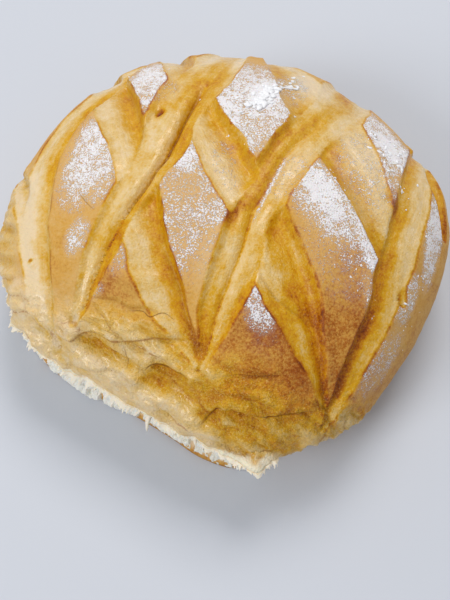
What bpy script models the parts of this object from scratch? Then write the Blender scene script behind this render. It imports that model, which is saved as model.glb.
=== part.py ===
"""A round white loaf with a diamond-scored crust, torn along the side where it was baked against its neighbour.

Run with: blender --background --python part.py

The loaf rests on its flat base at z = 0, with the middle of its footprint at the origin. The torn side faces
-X and -Y. Sizes are in millimetres until the mesh is made, which turns them into metres.

The crust is one surface of two parameters. An angle goes round the loaf, and a sweep goes from the crown, over
the widest line or the torn lip, down the side and across the base. The scored cuts and the folds of skin are
read on the loaf's plan, as a baker sees it from above, and pushed in along the surface's normal.
"""

from dataclasses import dataclass

import bpy
import numpy as np

MM = 0.001

HEIGHT = 90.0
WIDEST_HEIGHT = 28.0
BASE_INSET = 16.0
CROWN_POWER = 2.5
SIDE_SPREAD = 12.0

# The widest outline as the angle round the loaf, in degrees from +X, and the distance out there.
OUTLINE = (
    (-170, 110.5), (-162, 108.3), (-153, 105.2), (-143, 100.0), (-130, 94.2), (-117, 93.4), (-106, 94.6),
    (-97, 99.6), (-88, 104.0), (-78, 106.0), (-66, 106.5), (-50, 106.5), (-36, 104.5),
    (-20, 106.0), (-8, 109.5), (8, 114.0), (24, 111.5), (40, 109.0), (60, 109.5), (95, 111.5), (126, 113.0),
    (157, 113.0), (178, 112.5),
)

TEAR_FROM, TEAR_TO = -176.0, -79.0
TEAR_FADE = 6.0
TEAR_MIDDLE = -126.0
SLUMP_HALF_ANGLE = 95.0
LIP_HEIGHT = 36.0
LIP_RAG = 1.3
UNDERCUT = 1.0
CRUMB_HOLLOW = 3.0
CRUMB_RAG = 1.5
CRUMB_BULGE = 3.0
CRUMB_BULGE_ANGLE = -168.0
CRUMB_BULGE_HALF_ANGLE = 9.0
FLAKE_ANGLE = -83.0
FLAKE_REACH = 10.0
FLAKE_HALF_ANGLE = 4.0
BASE_CRUST_HEIGHT = 5.0
BASE_CRUST_STEP = 2.2

PLATE_RIM_LIFT = 1.1
PLATE_RIM_WIDTH = 7.0
SWELL = 1.3
SWELL_LENGTH = 55.0
BLISTER = 0.35
BLISTER_LENGTH = 11.0

CUT_STEP = 0.26
STEEP_DROP = 0.62
CREASE_TURN = 0.93
CROSSING_CALM = 0.55
CUT_WANDER = 0.9
CUT_WANDER_LENGTH = 9.0
FOLD_WANDER = 3.0
FOLD_WANDER_LENGTH = 13.0

ANGLE_STEPS = 640
TOP_RINGS = 180
SIDE_RINGS = 26
BASE_RINGS = 4
MOST_TRIANGLES = 11600
NOISE_SEED = 7

CRUST_COLOUR = (0.66, 0.36, 0.10, 1.0)
CRUST_ROUGHNESS = 0.48


@dataclass(frozen=True)
class Cut:
    """A baker's cut that opened in the oven.

    Each station has the cut's middle on the plan (x, y) and how wide it opened. The crease runs along the
    bottom, aside from the middle by a share of half the width, towards +X where that is positive. The steep
    side is the one under the lifted edge of crust: 1 towards +X, -1 towards -X, 0 where both sides bulge.
    A sharp crease (1) is where two bulges meet, and a soft one (0) is a round valley.
    """

    stations: tuple
    depth: float
    crease: float
    steep: int = 0
    sharp: float = 0.3


# Cuts that run from the back right to the front left, from the left one to the right one.
LEANING_CUTS = (
    Cut(
        ((-40, 98, 4), (-58, 76, 13), (-74, 56, 17), (-86, 32, 18), (-90, 0, 19), (-86, -32, 15), (-80, -60, 5)),
        depth=3.6, crease=0.45, steep=1, sharp=0.5,
    ),
    Cut(
        ((16, 122, 6), (6, 106, 18), (-8, 76, 30), (-22, 48, 28), (-29, 26, 26), (-37, 8, 20), (-48, -12, 17),
         (-57, -30, 14), (-68, -52, 4)),
        depth=6.6, crease=0.3, sharp=0.9,
    ),
    Cut(
        ((80, 100, 6), (67, 80, 26), (52, 50, 29), (28, 17, 23), (13, -12, 22), (5, -36, 23), (-3, -56, 17),
         (-10, -76, 4)),
        depth=5.6, crease=-0.1, steep=-1, sharp=0.7,
    ),
    Cut(
        ((110, 58, 4), (102, 44, 12), (96, 30, 15), (86, 0, 17), (76, -30, 17), (66, -56, 13), (57, -74, 11),
         (45, -98, 4)),
        depth=4.8, crease=-0.3, steep=-1, sharp=0.2,
    ),
)

# Cuts that run from the back left to the front right, from the left one to the right one.
CROSSING_CUTS = (
    Cut(
        ((-112, 40, 3), (-104, 28, 9), (-98, 12, 11), (-93, -8, 10), (-88, -30, 4)),
        depth=2.6, crease=0.2, sharp=0.3,
    ),
    Cut(
        ((-70, 101, 5), (-62, 83, 19), (-51, 48, 22), (-42, 16, 18), (-36, -18, 20), (-27, -46, 18), (-12, -74, 4)),
        depth=5.6, crease=0.4, steep=1, sharp=0.35,
    ),
    Cut(
        ((-35, 118, 5), (-28, 102, 15), (-21, 78, 18), (-14, 48, 20), (-4, 26, 22), (6, 4, 24), (16, -18, 25),
         (27, -46, 26), (35, -66, 16), (44, -92, 4)),
        depth=5.8, crease=0.35, steep=1, sharp=0.35,
    ),
    Cut(
        ((18, 120, 4), (27, 98, 15), (36, 73, 26), (47, 47, 34), (57, 21, 29), (67, -6, 20), (77, -32, 17),
         (89, -56, 6)),
        depth=5.0, crease=-0.45, steep=-1, sharp=0.15,
    ),
    Cut(
        ((58, 106, 4), (70, 90, 9), (84, 68, 12), (97, 44, 13), (103, 20, 11), (107, -6, 4)),
        depth=3.8, crease=0.2, steep=1, sharp=0.3,
    ),
)


@dataclass(frozen=True)
class Fold:
    """A ledge of skin where the crust was pulled towards the tear, outwards of which the surface is sunk.

    The path is on the plan and goes from left to right, so its outward side is on the right of travel.
    """

    path: tuple
    drop: float
    reach: float


FOLDS = (
    Fold(((-72, -57), (-62, -55), (-50, -58), (-34, -58), (-24, -57), (-14, -62)), 3.4, 9.0),
    Fold(((-40, -78), (-32, -71), (-25, -73), (-16, -67), (-8, -66)), 3.0, 7.0),
    Fold(((-12, -97), (-6, -92), (4, -90), (16, -92), (30, -89), (42, -91), (52, -90)), 3.6, 8.0),
    Fold(((-14, -79), (2, -79), (18, -81), (32, -82)), 1.2, 5.0),
)


def fade(value, start, end):
    """0 at start and 1 at end, with a smooth turn at both."""
    share = np.clip((value - start) / (end - start), 0.0, 1.0)
    return share * share * (3.0 - 2.0 * share)


def smooth_path(points, steps=10):
    """A Catmull-Rom curve through the points, one row a point, with steps rows for each stretch."""
    points = np.asarray(points, float)
    padded = np.vstack((2 * points[0] - points[1], points, 2 * points[-1] - points[-2]))
    share = np.linspace(0.0, 1.0, steps, endpoint=False)[:, None]
    rows = []
    for before, here, there, after in zip(padded, padded[1:], padded[2:], padded[3:]):
        rows.append(
            here
            + 0.5 * share * (there - before)
            + share**2 * (before - 2.5 * here + 2.0 * there - 0.5 * after)
            + share**3 * (1.5 * (here - there) + 0.5 * (after - before))
        )
    return np.vstack((*rows, points[-1:]))


def beside(path, x, y):
    """Where each point lies along a dense path, as a share of its rows, and how far to the left of travel."""
    start, step = path[:-1, :2], np.diff(path[:, :2], axis=0)
    off_x = x[:, None] - start[:, 0]
    off_y = y[:, None] - start[:, 1]
    along = np.clip((off_x * step[:, 0] + off_y * step[:, 1]) / (step**2).sum(axis=1), 0.0, 1.0)
    gap = np.hypot(off_x - along * step[:, 0], off_y - along * step[:, 1])
    nearest = gap.argmin(axis=1)
    rows = np.arange(len(x))
    side = np.sign(step[nearest, 0] * off_y[rows, nearest] - step[nearest, 1] * off_x[rows, nearest])
    return (nearest + along[rows, nearest]) / len(step), side * gap[rows, nearest]


class Noise:
    """Smooth noise from -1 to 1: random values on a cubic lattice, blended between with the fade curve."""

    def __init__(self, seed, size=64):
        self.size = size
        self.values = np.random.default_rng(seed).uniform(-1.0, 1.0, (size, size, size))

    def __call__(self, points, length):
        scaled = points / length + self.size / 2
        cell = np.floor(scaled).astype(int)
        part = fade(scaled - cell, 0.0, 1.0)
        total = np.zeros(len(points))
        for corner in np.ndindex(2, 2, 2):
            weight = np.prod(np.where(corner, part, 1.0 - part), axis=1)
            index = (cell + corner) % self.size
            total += weight * self.values[index[:, 0], index[:, 1], index[:, 2]]
        return total


def outline_radius(angle):
    """The widest distance from the middle at each angle, smooth through OUTLINE and round its join."""
    turn = 360.0
    wrapped = [(a + shift, r) for shift in (-turn, 0.0, turn) for a, r in OUTLINE]
    curve = smooth_path(wrapped)
    return np.interp(np.degrees(angle), curve[:, 0], curve[:, 1])


def tear_share(angle):
    """1 where the side is torn and 0 where its crust is whole."""
    degrees = (np.degrees(angle) + 180.0) % 360.0 - 180.0
    before_left_end = np.where(degrees > 90.0, degrees - 360.0, degrees)
    opens = fade(before_left_end, TEAR_FROM - TEAR_FADE, TEAR_FROM + TEAR_FADE)
    closes = 1.0 - fade(before_left_end, TEAR_TO - TEAR_FADE / 2, TEAR_TO + TEAR_FADE / 2)
    return opens * closes


def slump_share(angle):
    """How far the crown sags towards the tear, which is broader than the tear itself."""
    away = np.abs((np.degrees(angle) - TEAR_MIDDLE + 180.0) % 360.0 - 180.0)
    return 1.0 - fade(away, 0.0, SLUMP_HALF_ANGLE)


def flake(angle, share):
    """How far the pointed flake of crust at the right end of the tear stands out, for a share of its length."""
    away = (np.degrees(angle) - FLAKE_ANGLE) / FLAKE_HALF_ANGLE
    return FLAKE_REACH * np.exp(-np.abs(away) ** 1.5) * share


def foot_height(angle):
    """How high the widest line is, which rises to the torn lip."""
    return WIDEST_HEIGHT + (LIP_HEIGHT - WIDEST_HEIGHT) * fade(slump_share(angle), 0.0, 0.7)


def crown_form(angle, sweep):
    """Radius and height over the crown: sweep 0 is its middle and 1 the widest line or the torn lip.

    The radius grows as a power of the sine and the height falls as a power of the cosine of a quarter turn,
    so the section is a superellipse. Towards the tear the height falls faster and ends at the lip.
    """
    turn = sweep * np.pi / 2
    foot = foot_height(angle)
    radius = outline_radius(angle) * np.sin(turn) ** (2.0 / CROWN_POWER)
    height = foot + (HEIGHT - foot) * np.cos(turn) ** (1.0 + 0.75 * slump_share(angle))
    return radius + flake(angle, fade(sweep, 0.92, 1.0)), height


def side_form(angle, sweep):
    """Radius and height down the side: sweep 0 is the widest line or the lip, and 1 the rim of the base.

    Whole crust turns under in a quarter ellipse. The torn side goes back under its lip, is a little hollow,
    and steps out again where the crust of the base is left standing.
    """
    torn = tear_share(angle)
    widest = outline_radius(angle)
    turn = sweep * np.pi / 2
    whole_radius = widest - BASE_INSET * (1.0 - np.cos(turn))
    whole_height = foot_height(angle) * (1.0 - np.sin(turn))
    torn_height = foot_height(angle) * (1.0 - sweep)
    under = UNDERCUT * sweep**0.7 + CRUMB_HOLLOW * np.sin(np.pi * sweep)
    base_crust = BASE_CRUST_STEP * (1.0 - fade(torn_height, BASE_CRUST_HEIGHT - 1.5, BASE_CRUST_HEIGHT + 1.5))
    away = ((np.degrees(angle) - CRUMB_BULGE_ANGLE + 180.0) % 360.0 - 180.0) / CRUMB_BULGE_HALF_ANGLE
    bulge = CRUMB_BULGE * np.exp(-(away**2)) * fade(sweep, 0.0, 0.3)
    torn_radius = widest - under + base_crust + bulge
    radius = whole_radius + (torn_radius - whole_radius) * torn
    height = whole_height + (torn_height - whole_height) * torn
    return radius + flake(angle, 1.0 - fade(sweep, 0.0, 0.2)), height


def cut_depths(x, y):
    """How deep the opened cuts are at each place on the plan, and how far it is to the nearest cut's edge.

    From each edge the section drops by a small step. A bulging side then stays high and turns down at the
    crease, like a quarter circle where it is sharp and like a cosine where it is soft. A steep side drops most
    of the way at once.
    """
    deepest = []
    edge = np.full(len(x), np.inf)
    cover = np.zeros(len(x))
    for family in (LEANING_CUTS, CROSSING_CUTS):
        depth = np.zeros(len(x))
        inside = np.zeros(len(x))
        for cut in family:
            path = smooth_path(cut.stations)
            share, side = beside(path, x, y)
            half_width = 0.5 * np.interp(share, np.linspace(0, 1, len(path)), path[:, 2])
            edge = np.minimum(edge, np.abs(side) - half_width)
            across = np.clip(side / half_width, -1.0, 1.0)
            right = across > cut.crease
            rise = np.where(right, (1.0 - across) / (1.0 - cut.crease), (1.0 + across) / (1.0 + cut.crease))
            turned = (1.0 - np.sqrt(1.0 - CREASE_TURN * rise**2.4)) / (1.0 - np.sqrt(1.0 - CREASE_TURN))
            valley = 0.5 - 0.5 * np.cos(np.pi * rise**1.2)
            fall = cut.sharp * turned + (1.0 - cut.sharp) * valley
            bulge = CUT_STEP * fade(rise, 0.0, 0.3) + (1.0 - CUT_STEP) * fall
            steep = STEEP_DROP * fade(rise, 0.0, 0.5) + (1.0 - STEEP_DROP) * valley
            section = np.where(right == (cut.steep > 0), steep, bulge) if cut.steep else bulge
            narrowing = np.clip(half_width / (0.5 * path[:, 2].max()), 0.0, 1.0) ** 0.7
            depth = np.maximum(depth, cut.depth * narrowing * section)
            inside = np.maximum(inside, 1.0 - np.abs(across))
        deepest.append(depth * (1.0 - CROSSING_CALM * fade(cover, 0.0, 0.35)))
        cover = inside
    power = 4.0
    return (deepest[0] ** power + deepest[1] ** power) ** (1.0 / power), edge


def fold_sink(x, y):
    """How far the folds of skin sink the surface outwards of their ledges, and fade along each ledge."""
    sink = np.zeros(len(x))
    for fold in FOLDS:
        share, side = beside(smooth_path(fold.path), x, y)
        outward = -side
        ends = np.clip(np.sin(np.pi * np.clip(share, 0.0, 1.0)), 0.0, 1.0) ** 0.6
        below = fade(outward, -0.8, 2.2) * np.exp(-np.clip(outward, 0.0, None) / fold.reach)
        sink = np.maximum(sink, fold.drop * ends * below)
    return sink


def wandered(noise, points, x, y, amount, length):
    """Plan coordinates moved about by noise, so that what is read at them has an uneven edge."""
    elsewhere = points[:, [1, 2, 0]]
    return x + amount * noise(points, length), y + amount * noise(elsewhere, length)


def normals_of(grid):
    """Outward normals of a grid whose rows go down the loaf and whose columns go round it."""
    down = np.gradient(grid, axis=0)
    around = np.roll(grid, -1, axis=1) - np.roll(grid, 1, axis=1)
    across = np.cross(around, down)
    length = np.linalg.norm(across, axis=2, keepdims=True)
    return -across / np.maximum(length, 1e-9)


def loaf_grid():
    """The loaf's surface as rows of points from near the crown's middle to the rim of the base."""
    angle = np.linspace(-np.pi, np.pi, ANGLE_STEPS, endpoint=False)[None, :]
    top_sweep = np.linspace(0.0, 1.0, TOP_RINGS + 1)[1:, None]
    side_sweep = np.linspace(0.0, 1.0, SIDE_RINGS + 1)[1:, None]
    radius, height = (
        np.vstack(pair) for pair in zip(crown_form(angle, top_sweep), side_form(angle, side_sweep))
    )
    plain = np.stack((radius * np.cos(angle), radius * np.sin(angle), height), axis=2)
    normals = normals_of(plain)

    points = plain.reshape(-1, 3)
    on_crown = np.repeat(np.arange(len(radius)) < TOP_RINGS, ANGLE_STEPS)
    flat_angle = np.tile(angle, (len(radius), 1)).ravel()
    fall = np.clip((HEIGHT - points[:, 2]) / (HEIGHT - WIDEST_HEIGHT), 0.0, None)
    spread = 1.0 + SIDE_SPREAD * fall**3 / radius.ravel()
    plan_x, plan_y = points[:, 0] * spread, points[:, 1] * spread

    noise = Noise(NOISE_SEED)
    depth, edge = cut_depths(*wandered(noise, points, plan_x, plan_y, CUT_WANDER, CUT_WANDER_LENGTH))
    folds = fold_sink(*wandered(noise, points, plan_x, plan_y, FOLD_WANDER, FOLD_WANDER_LENGTH))
    lift = PLATE_RIM_LIFT * np.exp(-np.clip(edge, 0.0, None) / PLATE_RIM_WIDTH) * fade(edge, -2.5, 1.0)
    torn = tear_share(flat_angle)
    rag = LIP_RAG * noise(points, 5.0) + CRUMB_RAG * noise(points, 3.4)
    low = fade(points[:, 2], 0.0, WIDEST_HEIGHT / 2)
    swell = SWELL * noise(points, SWELL_LENGTH) + BLISTER * noise(points, BLISTER_LENGTH)
    near_lip = fade(fall, 0.72, 1.0) * torn
    push = np.where(on_crown, lift - depth - folds, 0.0) * (1.0 - near_lip) + swell * low
    push += rag * torn * np.where(on_crown, near_lip, low)
    moved = points + normals.reshape(-1, 3) * push[:, None]
    moved[:, 2] = np.maximum(moved[:, 2], 0.0)
    moved = moved.reshape(plain.shape)
    moved[-1, :, 2] = 0.0
    return moved


def grid_faces(rows, columns):
    """Quads between neighbouring rows of a grid that closes on itself round its columns."""
    row, column = np.meshgrid(np.arange(rows - 1), np.arange(columns), indexing="ij")
    following = (column + 1) % columns
    first, second = row * columns, (row + 1) * columns
    corners = (first + column, second + column, second + following, first + following)
    return np.stack(corners, axis=-1).reshape(-1, 4)


def crust_material():
    """Baked golden crust."""
    material = bpy.data.materials.new("golden_crust")
    material.use_nodes = True
    shader = material.node_tree.nodes["Principled BSDF"]
    shader.inputs["Base Color"].default_value = CRUST_COLOUR
    shader.inputs["Roughness"].default_value = CRUST_ROUGHNESS
    shader.inputs["Metallic"].default_value = 0.0
    return material


def make_loaf():
    """The loaf as one closed solid, standing on z = 0 with the middle of its footprint at the origin."""
    side = loaf_grid()
    rim = side[-1]
    inner = [rim * (1.0 - ring / BASE_RINGS) for ring in range(1, BASE_RINGS)]
    grid = np.vstack((side, np.stack(inner)))
    rows, columns = grid.shape[:2]
    crown = np.array([[0.0, 0.0, side[0, :, 2].mean()]])
    points = np.vstack((grid.reshape(-1, 3), crown, np.zeros((1, 3))))
    top, bottom = rows * columns, rows * columns + 1

    faces = grid_faces(rows, columns).tolist()
    last = (rows - 1) * columns
    for column in range(columns):
        following = (column + 1) % columns
        faces.append((top, column, following))
        faces.append((bottom, last + following, last + column))

    low, high = points.min(axis=0), points.max(axis=0)
    points[:, :2] -= 0.5 * (low + high)[:2]
    mesh = bpy.data.meshes.new("loaf")
    mesh.from_pydata((points * MM).tolist(), [], faces)
    mesh.update()
    loaf = bpy.data.objects.new("loaf", mesh)
    bpy.context.scene.collection.objects.link(loaf)
    mesh.materials.append(crust_material())

    triangles = sum(len(face) - 2 for face in faces)
    thin = loaf.modifiers.new("fewer_triangles_where_flat", "DECIMATE")
    thin.decimate_type = "COLLAPSE"
    thin.use_collapse_triangulate = True
    thin.ratio = MOST_TRIANGLES / triangles
    mesh.shade_smooth()
    return loaf


def main():
    for old in list(bpy.data.objects):
        bpy.data.objects.remove(old)
    make_loaf()


main()
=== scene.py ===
"""A round white loaf with a diamond-scored, floured crust, torn along the side where it met its neighbour.

The loaf's form repeats the frame's solid, from the same named sizes in millimetres, at a fine pitch. Its
surface is a function of an angle round the loaf and a sweep from the crown's middle (0) over the widest
line or the torn lip (1) and down the side to the rim of the base (2). The cuts, folds and cracks are read
on the loaf's plan and pushed along the surface's normal. What they are is also kept on the mesh as
attributes, from which the crust's material takes its baking, its flour and its fine relief. Torn crumb, the
lip's tatters and the flour's lumps are pieces of their own, laid on the same form.
"""

from __future__ import annotations

import logging
import math
from dataclasses import dataclass, field
from enum import Enum
from typing import Any, Sequence

import bpy
import numpy as np
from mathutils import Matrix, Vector

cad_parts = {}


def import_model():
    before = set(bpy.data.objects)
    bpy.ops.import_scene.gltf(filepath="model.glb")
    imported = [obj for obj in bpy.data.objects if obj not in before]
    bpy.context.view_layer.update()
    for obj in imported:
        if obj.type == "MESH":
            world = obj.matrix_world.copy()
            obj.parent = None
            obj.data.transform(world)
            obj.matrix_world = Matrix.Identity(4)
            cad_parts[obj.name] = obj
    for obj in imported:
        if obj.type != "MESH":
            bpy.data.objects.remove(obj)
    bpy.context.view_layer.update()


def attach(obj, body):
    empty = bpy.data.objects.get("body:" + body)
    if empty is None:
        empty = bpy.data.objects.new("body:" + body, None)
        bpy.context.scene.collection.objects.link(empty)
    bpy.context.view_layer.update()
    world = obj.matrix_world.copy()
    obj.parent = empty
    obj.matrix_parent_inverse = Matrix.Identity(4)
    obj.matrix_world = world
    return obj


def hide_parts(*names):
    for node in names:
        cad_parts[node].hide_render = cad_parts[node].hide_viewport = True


LOG = logging.getLogger("loaf")
MM = 0.001
NODE = "loaf"
BODY = "root"
FULL_TURN = 360.0
HALF_TURN = 180.0
QUARTER_TURN = 90.0
FAR = 20.0
POINTED = 1e-6
NEAR_ZERO = 1e-3

Array = np.ndarray
Colour = tuple[float, float, float]


def painted(red: int, green: int, blue: int) -> Colour:
    """Turn a colour as a screen shows it, from 0 to 255, into the linear values that a shader takes.

    Args:
        red: the red part.
        green: the green part.
        blue: the blue part.

    Returns:
        The three linear parts, each the screen value's share raised to the power 2.2.
    """
    return tuple((part / 255.0) ** 2.2 for part in (red, green, blue))


def fade(value: Array | float, start: float, end: float) -> Array:
    """Go from 0 at start to 1 at end with a smooth turn at both: three squares less two cubes of the share.

    Args:
        value: where to read the fade.
        start: where it leaves 0.
        end: where it reaches 1.

    Returns:
        The faded share, as an array like value.
    """
    share = np.clip((value - start) / (end - start), 0.0, 1.0)
    return share * share * (3.0 - 2.0 * share)


def bell(value: Array, middle: float, half_width: float) -> Array:
    """Read a bell curve: the exponential of minus the squared distance from middle in half widths."""
    return np.exp(-(((value - middle) / half_width) ** 2))


def tapered(share: Array, power: float) -> Array:
    """Rise from 0 at a share of 0 to 1 in the middle and fall back to 0: half a turn's sine, to a power."""
    return np.clip(np.sin(np.pi * np.clip(share, 0.0, 1.0)), 0.0, 1.0) ** power


def degrees_past(angle: Array, middle: float = 0.0) -> Array:
    """Give how many degrees each angle, in radians, lies past a middle in degrees, from -180 to 180."""
    return (np.degrees(angle) - middle + HALF_TURN) % FULL_TURN - HALF_TURN


def unit(vectors: Array) -> Array:
    """Scale each vector to a length of 1."""
    return vectors / np.linalg.norm(vectors, axis=1, keepdims=True)


class Noise:
    """Smooth noise from -1 to 1: random values on a cubic lattice, blended between with the fade curve."""

    def __init__(self, seed: int, size: int = 64) -> None:
        """Draw the lattice.

        Args:
            seed: the seed of the random values.
            size: how many values the lattice has each way before it repeats.
        """
        self.size = size
        self.values = np.random.default_rng(seed).uniform(-1.0, 1.0, (size, size, size))

    def __call__(self, points: Array, length: float) -> Array:
        """Read the noise.

        Args:
            points: one row of three coordinates for each reading.
            length: the lattice's pitch, in the points' unit.

        Returns:
            One value for each row.
        """
        scaled = points / length + self.size / 2
        cell = np.floor(scaled).astype(int)
        part = fade(scaled - cell, 0.0, 1.0)
        total = np.zeros(len(points))
        for corner in np.ndindex(2, 2, 2):
            weight = np.prod(np.where(corner, part, 1.0 - part), axis=1)
            index = (cell + corner) % self.size
            total += weight * self.values[index[:, 0], index[:, 1], index[:, 2]]
        return total

    def layered(self, points: Array, length: float, layers: int = 3, keep: float = 0.5) -> Array:
        """Add up noises of halving length, each weaker than the last by keep, and scale to about -1 to 1.

        Args:
            points: one row of three coordinates for each reading.
            length: the first noise's pitch.
            layers: how many noises are added.
            keep: how strong each noise is beside the one before it.

        Returns:
            One value for each row.
        """
        total, strength, reach = np.zeros(len(points)), 1.0, 0.0
        for layer in range(layers):
            shifted = points + 17.3 * layer
            total += strength * self(shifted, length / 2**layer)
            reach += strength
            strength *= keep
        return total / reach

    def ridged(self, points: Array, length: float, layers: int = 2) -> Array:
        """Fold the layered noise at 0, so that it makes sharp ridges: 1 less twice its size."""
        return 1.0 - 2.0 * np.abs(self.layered(points, length, layers))


class PlanPath:
    """A smooth line on the loaf's plan, with any further values that change along it."""

    def __init__(self, points: Sequence[Sequence[float]], steps: int = 10) -> None:
        """Run a Catmull-Rom curve through the points.

        Args:
            points: rows of x, y and any further values, in millimetres.
            steps: how many rows each stretch between two points gets.
        """
        given = np.asarray(points, float)
        padded = np.vstack((2 * given[0] - given[1], given, 2 * given[-1] - given[-2]))
        share = np.linspace(0.0, 1.0, steps, endpoint=False)[:, None]
        rows = []
        for before, here, there, after in zip(padded, padded[1:], padded[2:], padded[3:]):
            rows.append(
                here
                + 0.5 * share * (there - before)
                + share**2 * (before - 2.5 * here + 2.0 * there - 0.5 * after)
                + share**3 * (1.5 * (here - there) + 0.5 * (after - before))
            )
        self.rows = np.vstack((*rows, given[-1:]))

    def beside(self, x: Array, y: Array) -> tuple[Array, Array]:
        """Find where each point lies along the line and how far to the left of travel.

        Args:
            x: the points' x.
            y: the points' y.

        Returns:
            The share of the line's rows, and the signed distance in millimetres.
        """
        start, step = self.rows[:-1, :2], np.diff(self.rows[:, :2], axis=0)
        off_x = x[:, None] - start[:, 0]
        off_y = y[:, None] - start[:, 1]
        along = np.clip((off_x * step[:, 0] + off_y * step[:, 1]) / (step**2).sum(axis=1), 0.0, 1.0)
        gap = np.hypot(off_x - along * step[:, 0], off_y - along * step[:, 1])
        nearest = gap.argmin(axis=1)
        rows = np.arange(len(x))
        side = np.sign(step[nearest, 0] * off_y[rows, nearest] - step[nearest, 1] * off_x[rows, nearest])
        return (nearest + along[rows, nearest]) / len(step), side * gap[rows, nearest]

    def length(self) -> float:
        """Add up the line's steps, in millimetres."""
        return float(np.hypot(*np.diff(self.rows[:, :2], axis=0).T).sum())

    def value(self, share: Array, column: int) -> Array:
        """Read a further value at a share of the line."""
        return np.interp(share, np.linspace(0.0, 1.0, len(self.rows)), self.rows[:, column])


class Lean(Enum):
    """Which side of a cut goes down under a lifted edge of crust, where it is deeper in colour: partly its
    own baking and partly painted shade under the edge.
    """

    TOWARDS_PLUS_X = 1
    TOWARDS_MINUS_X = -1


@dataclass(frozen=True)
class Cut:
    """A baker's cut that opened in the oven: stations of x, y and opened width, and its section.

    The crease lies aside from the middle by a share of half the width. On the side that the cut leans to,
    wall says how much that side is a steep wall (1) rather than a second bulge (0). A sharp crease (1) is
    where two surfaces meet, and a soft one (0) is a round valley. Tone is added to how dark the whole cut
    baked. Lip is how far the surface rises again beside the crease, as a share of the depth, from a valley
    along the cut's edge. The crease begins at the share of the path that opens gives; before it the cut is
    one low bulge.
    """

    stations: tuple
    depth: float
    crease: float
    lean: Lean
    wall: float
    sharp: float
    tone: float
    lip: float = 0.0
    opens: float = -1.0


@dataclass(frozen=True)
class Fold:
    """A ledge of skin, outwards of which (on the right of travel) the surface is sunk."""

    path: tuple
    drop: float
    reach: float


@dataclass(frozen=True)
class Roll:
    """A rolled ridge of skin along a path, a hollow where its height is below 0, and its change of bake:
    paler on a ridge and darker in a hollow, partly the skin's own baking and partly painted highlight and
    shade.
    """

    path: tuple
    height: float
    half_width: float
    bake: float


@dataclass(frozen=True)
class Crack:
    """A fine split in the crust along a line on the plan. Its darkness is painted shade in the groove, over
    the split's own browner colour.
    """

    path: tuple
    width: float
    depth: float
    darkness: float = 1.0


@dataclass(frozen=True)
class Patch:
    """A soft-edged oval on the plan: middle, half length and half width in millimetres, turn and strength."""

    x: float
    y: float
    long: float
    wide: float
    turn: float
    strength: float

    def read(self, x: Array, y: Array) -> Array:
        """Give the patch's strength, full inside seven tenths of its size and gone at 1.3 times it."""
        turn = math.radians(self.turn)
        along = ((x - self.x) * math.cos(turn) + (y - self.y) * math.sin(turn)) / self.long
        across = (-(x - self.x) * math.sin(turn) + (y - self.y) * math.cos(turn)) / self.wide
        return self.strength * (1.0 - fade(np.hypot(along, across), 0.55, 1.35))


LEANING_CUTS = (
    Cut(
        (
            (-40, 98, 4), (-58, 76, 13), (-74, 56, 17), (-86, 32, 18), (-90, 0, 19), (-86, -32, 15),
            (-80, -60, 5),
        ),
        depth=3.6, crease=0.45, lean=Lean.TOWARDS_PLUS_X, wall=0.7, sharp=0.5, tone=-0.05,
    ),
    Cut(
        ((16, 122, 6), (6, 106, 18), (-8, 76, 30), (-22, 48, 28), (-29, 26, 26), (-37, 8, 20), (-48, -12, 17),
         (-57, -30, 14), (-68, -52, 4)),
        depth=6.0, crease=0.3, lean=Lean.TOWARDS_PLUS_X, wall=0.15, sharp=1.0, tone=0.0, lip=0.2, opens=0.3,
    ),
    Cut(
        ((80, 100, 6), (67, 80, 26), (52, 50, 29), (28, 17, 23), (13, -12, 22), (5, -36, 23), (-3, -56, 17),
         (-10, -76, 4)),
        depth=5.6, crease=-0.05, lean=Lean.TOWARDS_MINUS_X, wall=0.25, sharp=0.85, tone=0.02, lip=0.22,
        opens=0.36,
    ),
    Cut(
        ((110, 58, 4), (102, 44, 12), (96, 30, 15), (86, 0, 17), (76, -30, 17), (66, -56, 13), (57, -74, 11),
         (45, -98, 4)),
        depth=3.6, crease=-0.5, lean=Lean.TOWARDS_MINUS_X, wall=0.5, sharp=0.3, tone=-0.02,
    ),
)

CROSSING_CUTS = (
    Cut(
        ((-112, 40, 3), (-104, 28, 9), (-98, 12, 11), (-93, -8, 10), (-88, -30, 4)),
        depth=2.6, crease=0.2, lean=Lean.TOWARDS_PLUS_X, wall=0.5, sharp=0.3, tone=-0.05,
    ),
    Cut(
        (
            (-70, 101, 5), (-62, 83, 19), (-51, 48, 22), (-42, 16, 18), (-36, -18, 20), (-27, -46, 18),
            (-12, -74, 4),
        ),
        depth=5.6, crease=0.62, lean=Lean.TOWARDS_PLUS_X, wall=1.0, sharp=0.2, tone=0.0,
    ),
    Cut(
        ((-35, 118, 5), (-28, 102, 15), (-21, 78, 18), (-14, 48, 20), (-4, 26, 22), (6, 4, 24), (16, -18, 25),
         (27, -46, 26), (35, -66, 16), (44, -92, 4)),
        depth=5.4, crease=0.6, lean=Lean.TOWARDS_PLUS_X, wall=0.8, sharp=0.2, tone=-0.02,
    ),
    Cut(
        ((18, 120, 4), (27, 98, 15), (36, 73, 26), (47, 47, 34), (57, 21, 29), (67, -6, 20), (74, -27, 14),
         (80, -44, 5)),
        depth=3.7, crease=-0.6, lean=Lean.TOWARDS_MINUS_X, wall=0.7, sharp=0.2, tone=-0.02,
    ),
    Cut(
        ((58, 106, 4), (70, 90, 9), (84, 68, 12), (97, 44, 13), (103, 20, 11), (107, -6, 4)),
        depth=3.8, crease=0.4, lean=Lean.TOWARDS_PLUS_X, wall=0.8, sharp=0.3, tone=0.0,
    ),
)

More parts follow.
